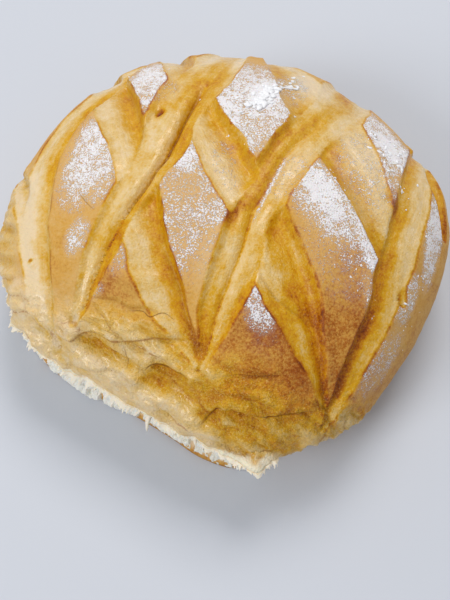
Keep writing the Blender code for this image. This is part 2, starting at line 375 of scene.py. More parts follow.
FOLDS = (
    Fold(((-76, -51), (-72, -58), (-62, -57), (-50, -61), (-37, -63), (-24, -63), (-16, -66)), 2.6, 8.0),
    Fold(((-36, -76), (-32, -73), (-26, -75), (-21, -77), (-14, -79)), 3.0, 6.0),
    Fold(((-11, -99), (-6, -95), (-2, -92), (4, -94), (15, -96), (27, -95), (42, -92)), 3.0, 8.0),
    Fold(((-2, -80), (14, -81), (25, -80)), 1.3, 5.0),
    Fold(((-62, -43), (-50, -47), (-38, -50), (-28, -54)), 1.2, 5.0),
    Fold(((-96, -34), (-92, -46), (-84, -52)), 1.2, 5.0),
)

# Rolls are paler on their ridges and darker in their hollows: partly the skin's own baking, partly painted
# highlight and shade.
ROLLS = (
    Roll(((-80, -44), (-74, -54), (-69, -64), (-57, -71), (-44, -78), (-38, -80)), 2.2, 4.6, -0.24),
    Roll(((-42, -84), (-37, -87), (-27, -89), (-13, -92), (-8, -92)), 2.0, 4.2, -0.24),
    Roll(((-22, -97), (-19, -99), (-9, -104), (0, -110)), 1.4, 4.0, -0.2),
    Roll(((-102, -28), (-101, -33), (-102, -48), (-93, -58), (-86, -66)), 1.5, 5.0, -0.16),
    Roll(((-68, -58), (-64, -61), (-54, -68), (-47, -73), (-42, -76)), -2.0, 3.4, 0.26),
    Roll(((-35, -74), (-31, -77), (-18, -83), (-6, -88), (0, -90)), -2.0, 4.2, 0.22),
    Roll(((-8, -94), (-3, -95), (10, -98), (18, -98)), -1.4, 4.0, 0.2),
    Roll(((-58, -34), (-40, -40), (-24, -44)), 0.9, 3.4, -0.06),
    # A small pit, darkened as painted shade.
    Roll(((-33, 44), (-32, 45), (-30, 47), (-29, 48)), -1.7, 1.0, 0.6),
)

# Cracks, darkened as painted shade in their grooves; the third to fifth follow folds and draw the shade line
# under their ledges.
CRACKS = (
    Crack(((-66, 3), (-64, 0), (-61, -4), (-58, -8)), 0.4, 0.4, 0.45),
    Crack(((-46, -64), (-45, -68), (-44, -73)), 0.4, 0.5, 0.45),
    Crack(((-36, -76), (-32, -73), (-26, -75), (-21, -77), (-15, -79)), 0.6, 0.6, 0.9),
    Crack(((-9, -97), (-6, -95), (-2, -92), (4, -94), (15, -96), (27, -95), (38, -93)), 0.6, 0.7, 0.9),
    Crack(((2, -80), (14, -81), (24, -80)), 0.4, 0.4, 0.5),
    Crack(((-43, -51), (-36, -52), (-32, -55), (-26, -55), (-22, -58)), 0.35, 0.3, 0.7),
    Crack(((15, -34), (15, -41), (21, -50), (27, -55), (33, -58), (38, -63)), 1.3, 1.1, 0.2),
    Crack(((-10, 66), (-18, 46), (-25, 25), (-34, 7), (-46, -13)), 1.5, 1.9, 0.6),
)

# Flour that lies on the raised diamonds, in their order from the back left to the front right.
FLOUR_PATCHES = (
    Patch(-38, 68, 27, 15, 72, 0.68),
    Patch(-54, 10, 17, 8, 70, 0.55),
    Patch(-58, 28, 34, 16, 70, 0.7),
    Patch(-66, -18, 9, 6, 70, 0.55),
    Patch(-17, 16, 12, 9, 80, 0.68),
    Patch(-4, -12, 12, 6, 70, 0.55),
    Patch(-16, -7, 36, 18, 85, 0.46),
    Patch(14, 48, 36, 27, 80, 0.68),
    Patch(20, 56, 17, 10, 62, 0.92),
    Patch(2, 42, 12, 5, 110, 0.8),
    Patch(43, -2, 18, 8, 122, 0.88),
    Patch(46, -6, 26, 16, 118, 0.6),
    Patch(65, -27, 23, 6, 110, 0.78),
    Patch(63, -46, 13, 3.5, 100, 0.5),
    Patch(49, -24, 28, 17, 105, 0.26),
    Patch(77, 38, 30, 12, 108, 0.68),
    Patch(75, 12, 17, 5, 102, 0.56),
    Patch(78, 32, 15, 6, 105, 0.95),
    Patch(15, -52, 13, 8, 95, 0.6),
    Patch(17, -60, 15, 12, 90, 0.1),
    Patch(-45, -25, 12, 8, 80, 0.4),
    Patch(-60, -41, 7, 5, 0, 0.3),
    Patch(99, -8, 27, 6, 80, 0.72),
    Patch(83, -43, 14, 5, 65, 0.5),
    Patch(70, -72, 22, 7, 55, 0.44),
)

# Flour that was blown or shaken over the opened cuts too.
DUST_PATCHES = (
    Patch(64, 14, 26, 12, 100, 0.42),
    Patch(30, 8, 16, 8, 60, 0.3),
    Patch(0, 14, 20, 7, 100, 0.3),
    Patch(31, 66, 16, 12, 60, 0.5),
    Patch(21, 3, 20, 1.0, 65, 0.85),
    Patch(-30, 62, 12, 8, 60, 0.25),
)

# Skin in front of the cuts, which was drawn into wrinkles when the loaf was torn off.
SKIN_PATCHES = (
    Patch(-40, -74, 52, 20, -22, 1.0),
    Patch(-6, -92, 44, 20, -10, 1.0),
    Patch(34, -104, 46, 16, 12, 1.0),
    Patch(-92, -58, 42, 16, -55, 1.0),
    Patch(-112, -14, 50, 12, 82, 0.8),
)

# Where the crust baked darker than its surroundings, or paler where the strength is below 0.
BAKE_PATCHES = (
    Patch(34, -66, 20, 13, 120, 0.14),
    Patch(54, -60, 26, 15, 105, 0.05),
    Patch(6, -66, 26, 16, 100, 0.1),
    Patch(3, -13, 7, 3, 70, 0.2),
    Patch(-4, -42, 25, 9, 80, -0.26),
    Patch(8, -24, 16, 6, 70, -0.14),
    Patch(46, 64, 22, 12, 110, -0.17),
    Patch(18, -60, 12, 9, 95, 0.14),
    Patch(-51, -38, 7, 5, 70, 0.14),
    Patch(-46, -40, 14, 8, 0, 0.12),
    Patch(30, -82, 34, 10, 5, 0.05),
    Patch(77, 1, 7, 4, 100, 0.34),
    Patch(60, -14, 20, 6, 115, -0.1),
    Patch(88, -30, 30, 9, 75, -0.06),
    Patch(60, -38, 24, 12, 100, 0.1),
    Patch(-10, 76, 16, 12, 0, 0.06),
    Patch(-12, -76, 30, 12, -12, 0.04),
    Patch(10, -77, 13, 8, 0, -0.12),
    Patch(39, -74, 15, 6, 110, -0.16),
    Patch(-34, -86, 26, 8, -25, -0.06),
    Patch(-39, -67, 13, 7, -20, -0.14),
    Patch(-62, -57, 12, 8, -20, -0.07),
    Patch(32, -38, 20, 7, 110, -0.12),
    Patch(-52, -17, 10, 6, 70, 0.16),
    Patch(25, 33, 8, 5, 60, 0.16),
    Patch(84, -55, 20, 10, 60, -0.07),
    Patch(24, -88, 32, 12, 0, 0.1),
    # Paler skin at the front left: partly its own pallor, partly painted light where it faces away from the
    # key light.
    Patch(-80, -58, 46, 16, -45, -0.14),
    Patch(-52, -46, 26, 12, -20, -0.04),
    Patch(0, 86, 16, 14, 60, -0.16),
    Patch(-92, -22, 1.3, 1.0, 0, 0.7),
    Patch(-96, -10, 50, 12, 95, -0.16),
    Patch(-76, 30, 60, 20, 75, -0.02),
    Patch(-27, 60, 22, 14, 70, 0.12),
    Patch(-80, 50, 30, 14, 60, 0.06),
)

FLOUR_LUMPS = (
    (Patch(18, 52, 13, 6, 55, 1.0), 80, 2.1),
    (Patch(14, 48, 28, 20, 80, 1.0), 110, 0.8),
    (Patch(77, 26, 26, 9, 110, 1.0), 70, 1.1),
    (Patch(44, 0, 22, 13, 115, 1.0), 60, 0.7),
    (Patch(31, 66, 13, 7, 60, 1.0), 26, 1.3),
    (Patch(88, -40, 30, 7, 70, 1.0), 40, 0.7),
    (Patch(-39, 74, 16, 12, 60, 1.0), 40, 0.7),
    (Patch(60, -30, 24, 9, 105, 1.0), 40, 0.7),
)


def strongest(patches: tuple, x: Array, y: Array) -> Array:
    """Read patches at points of the plan, and keep the strongest at each, or 0 where all are below it."""
    return np.max([np.zeros(len(x)), *(patch.read(x, y) for patch in patches)], axis=0)


@dataclass
class LoafForm:
    """The loaf's plain form and its relief, in millimetres, before it is moved to stand over the origin.

    The outline gives the widest distance from the middle at angles in degrees. The tear runs from one angle
    to another, and the crown sags towards its middle. The flake is a pointed piece of skin at the tear's
    right end.
    """

    height: float = 90.0
    widest_height: float = 28.0
    base_inset: float = 16.0
    crown_power: float = 2.5
    crown_droop: float = 0.75
    side_spread: float = 12.0
    outline: tuple = (
        (-170, 110.5), (-162, 108.3), (-153, 105.2), (-143, 100.0), (-130, 94.2), (-117, 93.4), (-106, 94.6),
        (-97, 99.6), (-88, 104.0), (-78, 106.0), (-66, 106.5), (-50, 106.5), (-36, 104.5),
        (-20, 106.0), (-8, 109.5), (8, 114.0), (24, 111.5), (40, 109.0), (60, 109.5), (95, 111.5),
        (126, 113.0), (157, 113.0), (178, 112.5),
    )
    tear_from: float = -176.0
    tear_to: float = -79.0
    tear_fade: float = 6.0
    tear_middle: float = -126.0
    slump_half_angle: float = 95.0
    slump_full: float = 0.7
    lip_height: float = 36.0
    undercut: float = 1.0
    undercut_power: float = 0.7
    crumb_hollow: float = 3.0
    crumb_bulge: float = 3.0
    crumb_bulge_angle: float = -168.0
    crumb_bulge_half_angle: float = 9.0
    crumb_bulge_start: float = 0.3
    foot_tuck: float = 3.6
    foot_tuck_angle: float = -119.0
    foot_tuck_half_angle: float = 14.0
    base_crust_height: float = 5.0
    base_crust_blend: float = 1.5
    base_crust_step: float = 2.2
    flake_angle: float = -83.0
    flake_reach: float = 10.0
    flake_half_angle: float = 4.0
    flake_power: float = 1.5
    flake_root: float = 0.92
    flake_thickness: float = 0.2
    footprint_middle: tuple = (0.219, -1.822)
    noise: Noise = field(default_factory=lambda: Noise(7))

    def __post_init__(self) -> None:
        """Run the smooth outline round its join once."""
        wrapped = [(a + shift, r) for shift in (-FULL_TURN, 0.0, FULL_TURN) for a, r in self.outline]
        self.outline_rows = PlanPath(wrapped).rows

    def outline_radius(self, angle: Array) -> Array:
        """Read the widest distance from the middle at each angle."""
        return np.interp(np.degrees(angle), self.outline_rows[:, 0], self.outline_rows[:, 1])

    def tear_share(self, angle: Array) -> Array:
        """Read how far the side is torn: a fade up at the tear's first end and down at its last.

        Args:
            angle: the angle round the loaf, in radians.

        Returns:
            1 where the side is torn and 0 where its crust is whole.
        """
        degrees = degrees_past(angle)
        degrees = np.where(degrees > QUARTER_TURN, degrees - FULL_TURN, degrees)
        opens = fade(degrees, self.tear_from - self.tear_fade, self.tear_from + self.tear_fade)
        closes = fade(degrees, self.tear_to - self.tear_fade / 2, self.tear_to + self.tear_fade / 2)
        return opens * (1.0 - closes)

    def slump_share(self, angle: Array) -> Array:
        """Give how far the crown sags towards the tear."""
        return 1.0 - fade(np.abs(degrees_past(angle, self.tear_middle)), 0.0, self.slump_half_angle)

    def foot_height(self, angle: Array) -> Array:
        """Give the height of the widest line, which rises to the torn lip."""
        rise = self.lip_height - self.widest_height
        return self.widest_height + rise * fade(self.slump_share(angle), 0.0, self.slump_full)

    def flake(self, angle: Array, share: Array) -> Array:
        """Give how far the pointed flake at the tear's right end stands out."""
        away = (np.degrees(angle) - self.flake_angle) / self.flake_half_angle
        return self.flake_reach * np.exp(-np.abs(away) ** self.flake_power) * share

    def torn_radius(self, angle: Array, down: Array, height: Array) -> Array:
        """Find the torn side's distance from the middle.

        From the widest line it goes in by a power and by a sine of the way down, further where the foot is
        tucked in, out again at the bulge, and out by a step at the strip of base crust.

        Args:
            angle: the angle round the loaf, in radians.
            down: the share of the way down the side.
            height: the height of each point.

        Returns:
            The distance in millimetres.
        """
        under = self.undercut * down**self.undercut_power + self.crumb_hollow * np.sin(np.pi * down)
        tucked = degrees_past(angle, self.foot_tuck_angle)
        under += self.foot_tuck * down * bell(tucked, 0.0, self.foot_tuck_half_angle)
        bulging = degrees_past(angle, self.crumb_bulge_angle)
        bulge = self.crumb_bulge * bell(bulging, 0.0, self.crumb_bulge_half_angle)
        bulge = bulge * fade(down, 0.0, self.crumb_bulge_start)
        low = self.base_crust_height - self.base_crust_blend
        high = self.base_crust_height + self.base_crust_blend
        step = self.base_crust_step * (1.0 - fade(height, low, high))
        return self.outline_radius(angle) - under + step + bulge

    def place(self, angle: Array, sweep: Array, crown: Array) -> Array:
        """Find points of the plain form.

        Over the crown the radius is a power of the sine, and the height a power of the cosine, of a quarter
        turn. Whole crust turns under in a quarter ellipse, and the torn side goes back under its lip.

        Args:
            angle: the angle round the loaf, in radians.
            sweep: 0 to 1 over the crown, 1 to 2 down the side.
            crown: whether each point is on the crown, which says what a sweep of 1 belongs to.

        Returns:
            One row of x, y and z for each point.
        """
        widest, foot = self.outline_radius(angle), self.foot_height(angle)
        turn = np.clip(sweep, 0.0, 1.0) * np.pi / 2
        top_radius = widest * np.sin(turn) ** (2.0 / self.crown_power)
        top_radius += self.flake(angle, fade(sweep, self.flake_root, 1.0))
        fall = np.clip(np.cos(turn), 0.0, 1.0) ** (1.0 + self.crown_droop * self.slump_share(angle))
        top_height = foot + (self.height - foot) * fall

        down = np.clip(sweep - 1.0, 0.0, 1.0)
        torn = self.tear_share(angle)
        whole_radius = widest - self.base_inset * (1.0 - np.cos(down * np.pi / 2))
        whole_height = foot * (1.0 - np.sin(down * np.pi / 2))
        torn_height = foot * (1.0 - down)
        torn_radius = self.torn_radius(angle, down, torn_height)
        side_radius = whole_radius + (torn_radius - whole_radius) * torn
        side_radius += self.flake(angle, 1.0 - fade(down, 0.0, self.flake_thickness))
        side_height = whole_height + (torn_height - whole_height) * torn

        radius = np.where(crown, top_radius, side_radius)
        height = np.where(crown, top_height, side_height)
        return np.stack((radius * np.cos(angle), radius * np.sin(angle), height), axis=-1)

    def normals(self, angle: Array, sweep: Array, crown: Array, step: float = 0.006) -> Array:
        """Find the plain form's outward normals: the cross product of how its points move down and around.

        Args:
            angle: the angle round the loaf, in radians.
            sweep: the sweep of each point.
            crown: whether each point is on the crown.
            step: how far each point is moved each way, in sweep and in radians.

        Returns:
            One row for each point, straight up where the surface comes to a point.
        """
        low, high = np.where(crown, 0.0, 1.0), np.where(crown, 1.0, 2.0)
        down = self.place(angle, np.clip(sweep + step, low, high), crown)
        down -= self.place(angle, np.clip(sweep - step, low, high), crown)
        around = self.place(angle + step, sweep, crown) - self.place(angle - step, sweep, crown)
        across = np.cross(down, around)
        length = np.linalg.norm(across, axis=1, keepdims=True)
        upright = np.array([[0.0, 0.0, 1.0]])
        return np.where(length > POINTED, across / np.maximum(length, POINTED / 1000.0), upright)

    def fall(self, points: Array) -> Array:
        """Give how far below the crown's top each point is, 1 at the height of the widest line."""
        return np.clip((self.height - points[:, 2]) / (self.height - self.widest_height), 0.0, None)

    def plan(self, points: Array) -> tuple[Array, Array]:
        """Unroll the side outwards, by the cube of how far a point is below the crown.

        Args:
            points: rows of x, y and z.

        Returns:
            The plan's x and y of each point.
        """
        radius = np.maximum(np.hypot(points[:, 0], points[:, 1]), NEAR_ZERO)
        spread = 1.0 + self.side_spread * self.fall(points) ** 3 / radius
        return points[:, 0] * spread, points[:, 1] * spread

    def wandered(
        self, points: Array, x: Array, y: Array, amount: float, length: float
    ) -> tuple[Array, Array]:
        """Move plan coordinates about by noise, so that what is read at them has an uneven edge."""
        turned = points[:, [1, 2, 0]]
        return x + amount * self.noise(points, length), y + amount * self.noise(turned, length)

    def centred(self, points: Array) -> Array:
        """Move points so that the middle of the footprint is at the origin, as the frame's solid has it."""
        return points - np.array([*self.footprint_middle, 0.0])


@dataclass
class Scoring:
    """The opened cuts: their depth, and where a point lies in them.

    Shares of a cut's depth are dropped by a small step at its edges, by a closed cut and by the first part
    of a steep side. Reaches and ranges are shares of the way from an edge to the crease, or of a path's
    length.
    """

    step: float = 0.14
    step_reach: float = 0.25
    closed_drop: float = 0.2
    closed_reach: float = 0.35
    opening: tuple = (-0.12, 0.1)
    steep_drop: float = 0.62
    steep_reach: float = 0.5
    lip_range: tuple = (0.3, 0.75)
    crease_turn: float = 0.93
    crease_power: float = 2.4
    valley_power: float = 1.2
    narrowing_power: float = 0.7
    crossing_calm: float = 0.55
    crossing_reach: float = 0.35
    crossing_yield: float = 0.75
    crossing_yield_reach: float = 0.3
    join_power: float = 4.0
    wander: float = 0.9
    wander_length: float = 9.0
    rim_lift: float = 0.8
    rim_width: float = 7.0
    rim_range: tuple = (-2.5, 1.0)
    tip_bake: float = 0.1
    tip_from: float = 0.8
    pattern_shift: float = 37.0

    def read(self, x: Array, y: Array) -> dict[str, Array]:
        """Read every cut.

        From each edge the section drops by a small step. A bulging side then stays high and turns down at
        the crease, like a quarter circle where it is sharp and like a cosine where it is soft. A steep side
        drops most of the way at once. Where two cuts cross, the leaning one keeps its depth and the
        crossing one is calmed.

        Args:
            x: plan x of each point.
            y: plan y of each point.

        Returns:
            depth in millimetres; edge, the distance to the nearest cut's edge, above 0 on crust between the
            cuts; lead, 0 where one cut takes over from another; rise, 0 at a cut's edge and 1 at its crease;
            steep, 1 on the side it leans to; sharp, tone and lip, the cut's own; along and across, the place
            in the cut in millimetres. Outside every cut the last seven are the nearest cut's.
        """
        count = len(x)
        edge = np.full(count, np.inf)
        names = ("rise", "steep", "sharp", "tone", "lip", "along", "across")
        shown = {name: np.zeros(count) for name in names}
        family_depths, cover = [], np.zeros(count)
        best, second, closest = np.zeros(count), np.zeros(count), np.full(count, np.inf)
        for crossing, family in enumerate((LEANING_CUTS, CROSSING_CUTS)):
            depth, inside = np.zeros(count), np.zeros(count)
            calm = 1.0 - crossing * self.crossing_calm * fade(cover, 0.0, self.crossing_reach)
            kept = 1.0 - crossing * self.crossing_yield * fade(cover, 0.0, self.crossing_yield_reach)
            for cut in family:
                own = self.read_cut(cut, x, y)
                beyond, middle = own.pop("beyond"), 1.0 - np.abs(own.pop("share_across"))
                depth = np.maximum(depth, own.pop("depth") * calm)
                edge = np.minimum(edge, beyond)
                within = middle * kept
                wins = (within > best) & (beyond < 0.0)
                loser = np.where(wins, best, np.where(beyond < 0.0, within, 0.0))
                second = np.maximum(second, loser)
                nearest = (best == 0.0) & (beyond < closest)
                closest = np.where(wins | nearest, beyond, closest)
                best = np.where(wins, within, best)
                for name, values in own.items():
                    shown[name] = np.where(wins | nearest, values, shown[name])
                inside = np.maximum(inside, middle)
            family_depths.append(depth)
            cover = inside
        power = self.join_power
        total = (family_depths[0] ** power + family_depths[1] ** power) ** (1.0 / power)
        lead = np.where(best > 0.0, best - second, 1.0)
        return {"depth": total, "edge": edge, "lead": lead, **shown}

    def read_cut(self, cut: Cut, x: Array, y: Array) -> dict[str, Array]:
        """Read one cut as if it were alone.

        Args:
            cut: the cut.
            x: plan x of each point.
            y: plan y of each point.

        Returns:
            What read gives, and beyond, the distance outside the cut's edge, and share_across, from -1 at its
            right edge to 1 at its left one.
        """
        path = PlanPath(cut.stations)
        share, side = path.beside(x, y)
        half_width = 0.5 * path.value(share, 2)
        across = np.clip(side / half_width, -1.0, 1.0)
        left = across > cut.crease
        rise = np.where(left, (1.0 - across) / (1.0 - cut.crease), (1.0 + across) / (1.0 + cut.crease))
        section, steep = self.section(rise, left, cut)
        opened = fade(share, cut.opens + self.opening[0], cut.opens + self.opening[1])
        low_bulge = self.closed_drop * fade(rise, 0.0, self.closed_reach)
        section = low_bulge + (section - low_bulge) * opened
        widest = 0.5 * path.rows[:, 2].max()
        narrowing = np.clip(half_width / widest, 0.0, 1.0) ** self.narrowing_power
        return {
            "beyond": np.abs(side) - half_width,
            "share_across": across,
            "depth": cut.depth * narrowing * section,
            "rise": rise,
            "steep": steep * opened,
            "sharp": cut.sharp * opened,
            "tone": cut.tone + self.tip_bake * fade(share, self.tip_from, 1.0),
            "lip": cut.lip * opened,
            "along": share * path.length() + self.pattern_shift * cut.depth,
            "across": side,
        }

    def section(self, rise: Array, left: Array, cut: Cut) -> tuple[Array, Array]:
        """Work out a cut's section.

        Args:
            rise: 0 at the cut's edge and 1 at its crease.
            left: whether each point is on the left of the crease.
            cut: the cut.

        Returns:
            The share of the cut's depth at each point, and 1 where its side is the one that the cut leans to.
        """
        round_turn = 1.0 - np.sqrt(1.0 - self.crease_turn * rise**self.crease_power)
        turned = round_turn / (1.0 - np.sqrt(1.0 - self.crease_turn))
        valley = 0.5 - 0.5 * np.cos(np.pi * rise**self.valley_power)
        fall = cut.sharp * turned + (1.0 - cut.sharp) * valley
        beside = self.step + cut.lip * (1.0 - fade(rise, *self.lip_range))
        bulge = beside * fade(rise, 0.0, self.step_reach) + (1.0 - self.step) * fall
        steep = self.steep_drop * fade(rise, 0.0, self.steep_reach) + (1.0 - self.steep_drop) * valley
        leaning = left == (cut.lean.value > 0)
        return np.where(leaning, cut.wall * steep + (1.0 - cut.wall) * bulge, bulge), leaning.astype(float)


@dataclass
class Skin:
    """Folds, cracks and wrinkles of the crust.

    Lengths and widths are in millimetres. Taper powers say how soon a mark reaches its full strength from
    its path's ends, and shifts keep one reading of the noise apart from another.
    """

    fold_wander: float = 1.7
    fold_wander_length: float = 8.0
    fold_range: tuple = (-0.4, 1.0)
    fold_taper: float = 0.6
    # Painted shade: a ledge's shade line reaches full strength where its drop reaches this many millimetres.
    shade_drop: float = 3.0
    roll_taper: float = 0.7
    crack_taper: float = 0.5
    crack_least_width: float = 1.0
    swell: float = 1.3
    swell_length: float = 55.0
    blister: float = 0.35
    blister_length: float = 11.0
    grain: float = 0.16
    pulled_grain: float = 0.24
    grain_length: float = 2.6
    wrinkle: float = 1.9
    wrinkle_pitch: tuple = (20.0, 6.5, 30.0)
    fine_wrinkle: float = 0.8
    fine_wrinkle_pitch: tuple = (9.0, 2.6, 9.0)
    fine_wrinkle_shift: float = 31.0
    wrinkle_turn: float = -32.0
    terrace_width: float = 9.0
    terrace_height: float = 1.3
    terrace_top: float = 0.9
    terrace_least: float = 0.35
    terrace_range: tuple = (-0.15, 0.45)
    terrace_patch: float = 13.0
    terrace_shift: float = 40.0
    terrace_bends: tuple = ((6.0, 21.0), (1.8, 6.0))

    def tear_axes(self, x: Array, y: Array) -> tuple[Array, Array]:
        """Turn plan coordinates so that the first runs along the tear and the second in from it."""
        turn = math.radians(self.wrinkle_turn)
        return x * math.cos(turn) + y * math.sin(turn), -x * math.sin(turn) + y * math.cos(turn)

    def folds(self, x: Array, y: Array) -> dict[str, Array]:
        """Read the folds: outwards of its ledge each sinks the surface, less and less by its reach.

        Args:
            x: plan x of each point.
            y: plan y of each point.

        Returns:
            sink in millimetres; side, the signed distance outwards of the nearest ledge; and its strength,
            which sets the painted shade line along that ledge.
        """
        sink = np.zeros(len(x))
        side_kept, strength, nearest = np.full(len(x), FAR), np.zeros(len(x)), np.full(len(x), np.inf)
        for fold in FOLDS:
            share, side = PlanPath(fold.path).beside(x, y)
            outward = -side
            ends = tapered(share, self.fold_taper)
            below = fade(outward, *self.fold_range) * np.exp(-np.clip(outward, 0.0, None) / fold.reach)
            sink = np.maximum(sink, fold.drop * ends * below)
            closer = np.abs(side) < nearest
            nearest = np.where(closer, np.abs(side), nearest)
            side_kept = np.where(closer, outward, side_kept)
            strength = np.where(closer, ends * min(1.0, fold.drop / self.shade_drop), strength)
        return {"sink": sink, "side": side_kept, "strength": strength}

    def terraces(self, noise: Noise, points: Array, x: Array, y: Array) -> dict[str, Array]:
        """Read thin layers of skin that overlap: a saw-tooth of the way out to the tear, warped by noise.

        Args:
            noise: what warps the layers and says where their ledges show.
            points: the plain form's points.
            x: plan x.
            y: plan y.

        Returns:
            push in millimetres, side, the distance outwards of the last ledge, and strength of that ledge's
            painted shade line.
        """
        outward = -self.tear_axes(x, y)[1]
        for amount, length in self.terrace_bends:
            outward = outward + amount * noise(points, length)
        share = outward / self.terrace_width
        share = share - np.floor(share)
        top = self.terrace_top
        tooth = np.where(share < top, share / top, (1.0 - share) / (1.0 - top))
        strength = fade(noise(points + self.terrace_shift, self.terrace_patch), *self.terrace_range)
        shown = self.terrace_least + (1.0 - self.terrace_least) * strength
        push = self.terrace_height * (tooth - 0.5) * shown
        return {"push": push, "side": share * self.terrace_width, "strength": strength}

    def rolls(self, x: Array, y: Array) -> dict[str, Array]:
        """Add up the rolls, each a bell across its path.

        Args:
            x: plan x of each point.
            y: plan y of each point.

        Returns:
            push in millimetres, and bake, what the rolls add to the baking: partly painted highlight on
            ridges and painted shade in hollows.
        """
        push, bake = np.zeros(len(x)), np.zeros(len(x))
        for roll in ROLLS:
            share, side = PlanPath(roll.path).beside(x, y)
            profile = tapered(share, self.roll_taper) * bell(side, 0.0, roll.half_width)
            push += roll.height * profile
            bake += roll.bake * profile
        return {"push": push, "bake": bake}

    def cracks(self, x: Array, y: Array) -> dict[str, Array]:
        """Read the cracks, each a bell-shaped groove.

        Args:
            x: plan x of each point.
            y: plan y of each point.

        Returns:
            side, the signed distance to the nearest crack in its own widths; dark, the darkness of its
            painted shade;
            and depth in millimetres.
        """
        side_kept, dark, nearest = np.full(len(x), FAR), np.zeros(len(x)), np.full(len(x), np.inf)
        depth = np.zeros(len(x))
        for crack in CRACKS:
            share, side = PlanPath(crack.path).beside(x, y)
            ends = tapered(share, self.crack_taper)
            closer = np.abs(side) < nearest
            nearest = np.where(closer, np.abs(side), nearest)
            side_kept = np.where(closer, side / crack.width, side_kept)
            dark = np.where(closer, ends * crack.darkness, dark)
            groove = bell(side, 0.0, max(crack.width, self.crack_least_width))
            depth = np.maximum(depth, crack.depth * ends * groove)
        return {"side": side_kept, "dark": dark, "depth": depth}

    def wrinkles(self, noise: Noise, points: Array, x: Array, y: Array) -> Array:
        """Read wrinkles, ridged noise drawn out along the tear, as skin wrinkles where it was pulled.

        Args:
            noise: the noise.
            points: the plain form's points.
            x: plan x.
            y: plan y.

        Returns:
            The wrinkles' height in millimetres.
        """
        place = np.stack((*self.tear_axes(x, y), points[:, 2]), axis=1)
        coarse = noise.ridged(place / self.wrinkle_pitch, 1.0)
        fine = noise.ridged(place / self.fine_wrinkle_pitch + self.fine_wrinkle_shift, 1.0)
        return self.wrinkle * coarse + self.fine_wrinkle * fine


def rings_of_faces(rows: int, columns: int, closed_rows: bool = False, closed_columns: bool = True) -> Array:
    """Quads between neighbouring rows and columns of a grid of points.

    Args:
        rows: how many rows the grid has.
        columns: how many columns it has.
        closed_rows: whether the last row is joined to the first.
        closed_columns: whether the last column is joined to the first.

    Returns:
        One row of four point numbers for each quad, facing outwards where rows go down and columns turn left.
    """
    row_range = np.arange(rows if closed_rows else rows - 1)
    column_range = np.arange(columns if closed_columns else columns - 1)
    row, column = np.meshgrid(row_range, column_range, indexing="ij")
    following_row, following_column = (row + 1) % rows, (column + 1) % columns
    corners = (
        row * columns + column,
        following_row * columns + column,
        following_row * columns + following_column,
        row * columns + following_column,
    )
    return np.stack(corners, axis=-1).reshape(-1, 4)


def closed_ends(rings: int, sides: int) -> Array:
    """Triangles that close the first and the last ring of a tube, each a fan from its ring's first point.

    Args:
        rings: how many rings the tube has.
        sides: how many points each ring has.

    Returns:
        One row of three point numbers for each triangle, facing as the tube's own quads do.
    """
    step = np.arange(1, sides - 1)
    first = np.stack((np.zeros_like(step), step, step + 1), axis=1)
    return np.vstack((first, first[:, ::-1] + (rings - 1) * sides))


def repeated(faces: Array, block: int, count: int) -> Array:
    """Repeat faces for count copies of a shape, each of a block of points."""
    return (faces[None] + block * np.arange(count)[:, None, None]).reshape(-1, faces.shape[1])


def make_piece(
    name: str,
    points: Array,
    quads: Array,
    triangles: Array | None = None,
    attributes: dict[str, Array] | None = None,
) -> bpy.types.Object:
    """Put whole arrays of points and faces into a smooth-shaded mesh object that rides on the loaf's body.

    Args:
        name: the piece's name.
        points: rows of x, y and z in millimetres.
        quads: rows of four point numbers.
        triangles: rows of three point numbers.
        attributes: values for each point, by name, for the piece's material.

    Returns:
        The new object.
    """
    tris = np.zeros((0, 3), int) if triangles is None else triangles
    mesh = bpy.data.meshes.new(name)
    mesh.vertices.add(len(points))
    mesh.vertices.foreach_set("co", (points * MM).astype(np.float32).ravel())
    corners = np.concatenate((quads.ravel(), tris.ravel())).astype(np.int32)
    mesh.loops.add(len(corners))
    mesh.loops.foreach_set("vertex_index", corners)
    sizes = np.concatenate((np.full(len(quads), 4), np.full(len(tris), 3)))
    mesh.polygons.add(len(sizes))
    mesh.polygons.foreach_set("loop_start", (np.cumsum(sizes) - sizes).astype(np.int32))
    mesh.update(calc_edges=True)
    for key, values in (attributes or {}).items():
        layer = mesh.attributes.new(key, "FLOAT", "POINT")
        layer.data.foreach_set("value", values.astype(np.float32))
    mesh.validate()
    mesh.shade_smooth()
    piece = bpy.data.objects.new(name, mesh)
    bpy.context.scene.collection.objects.link(piece)
    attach(piece, BODY)
    return piece


class Socket:
    """A shader value that takes part in Python arithmetic, each operator adding one Math node."""

    def __init__(self, shader: "Shader", link: bpy.types.NodeSocket) -> None:
        """Wrap a node's output."""
        self.shader = shader
        self.link = link

    def __add__(self, other: "Socket | float") -> "Socket":
        """Add."""
        return self.shader.math("ADD", self, other)

    __radd__ = __add__

    def __mul__(self, other: "Socket | float") -> "Socket":
        """Multiply."""
        return self.shader.math("MULTIPLY", self, other)

    __rmul__ = __mul__

    def __sub__(self, other: "Socket | float") -> "Socket":
        """Take away."""
        return self.shader.math("SUBTRACT", self, other)

    def __rsub__(self, other: "Socket | float") -> "Socket":
        """Take this from another value."""
        return self.shader.math("SUBTRACT", other, self)

    def clipped(self) -> "Socket":
        """Keep between 0 and 1."""
        return self.shader.math("ADD", self, 0.0, use_clamp=True)

    def larger(self, other: "Socket | float") -> "Socket":
        """Take the larger of two values."""
        return self.shader.math("MAXIMUM", self, other)

    def size(self) -> "Socket":
        """Drop the sign."""
        return self.shader.math("ABSOLUTE", self)

    def fade(self, start: float, end: float) -> "Socket":
        """Go smoothly from 0 at start to 1 at end."""
        settings = {"interpolation_type": "SMOOTHSTEP"}
        sockets = {"Value": self, "From Min": start, "From Max": end, "To Min": 0.0, "To Max": 1.0}
        if start > end:
            sockets.update({"From Min": end, "From Max": start, "To Min": 1.0, "To Max": 0.0})
        return self.shader.add("ShaderNodeMapRange", settings, sockets, "Result")


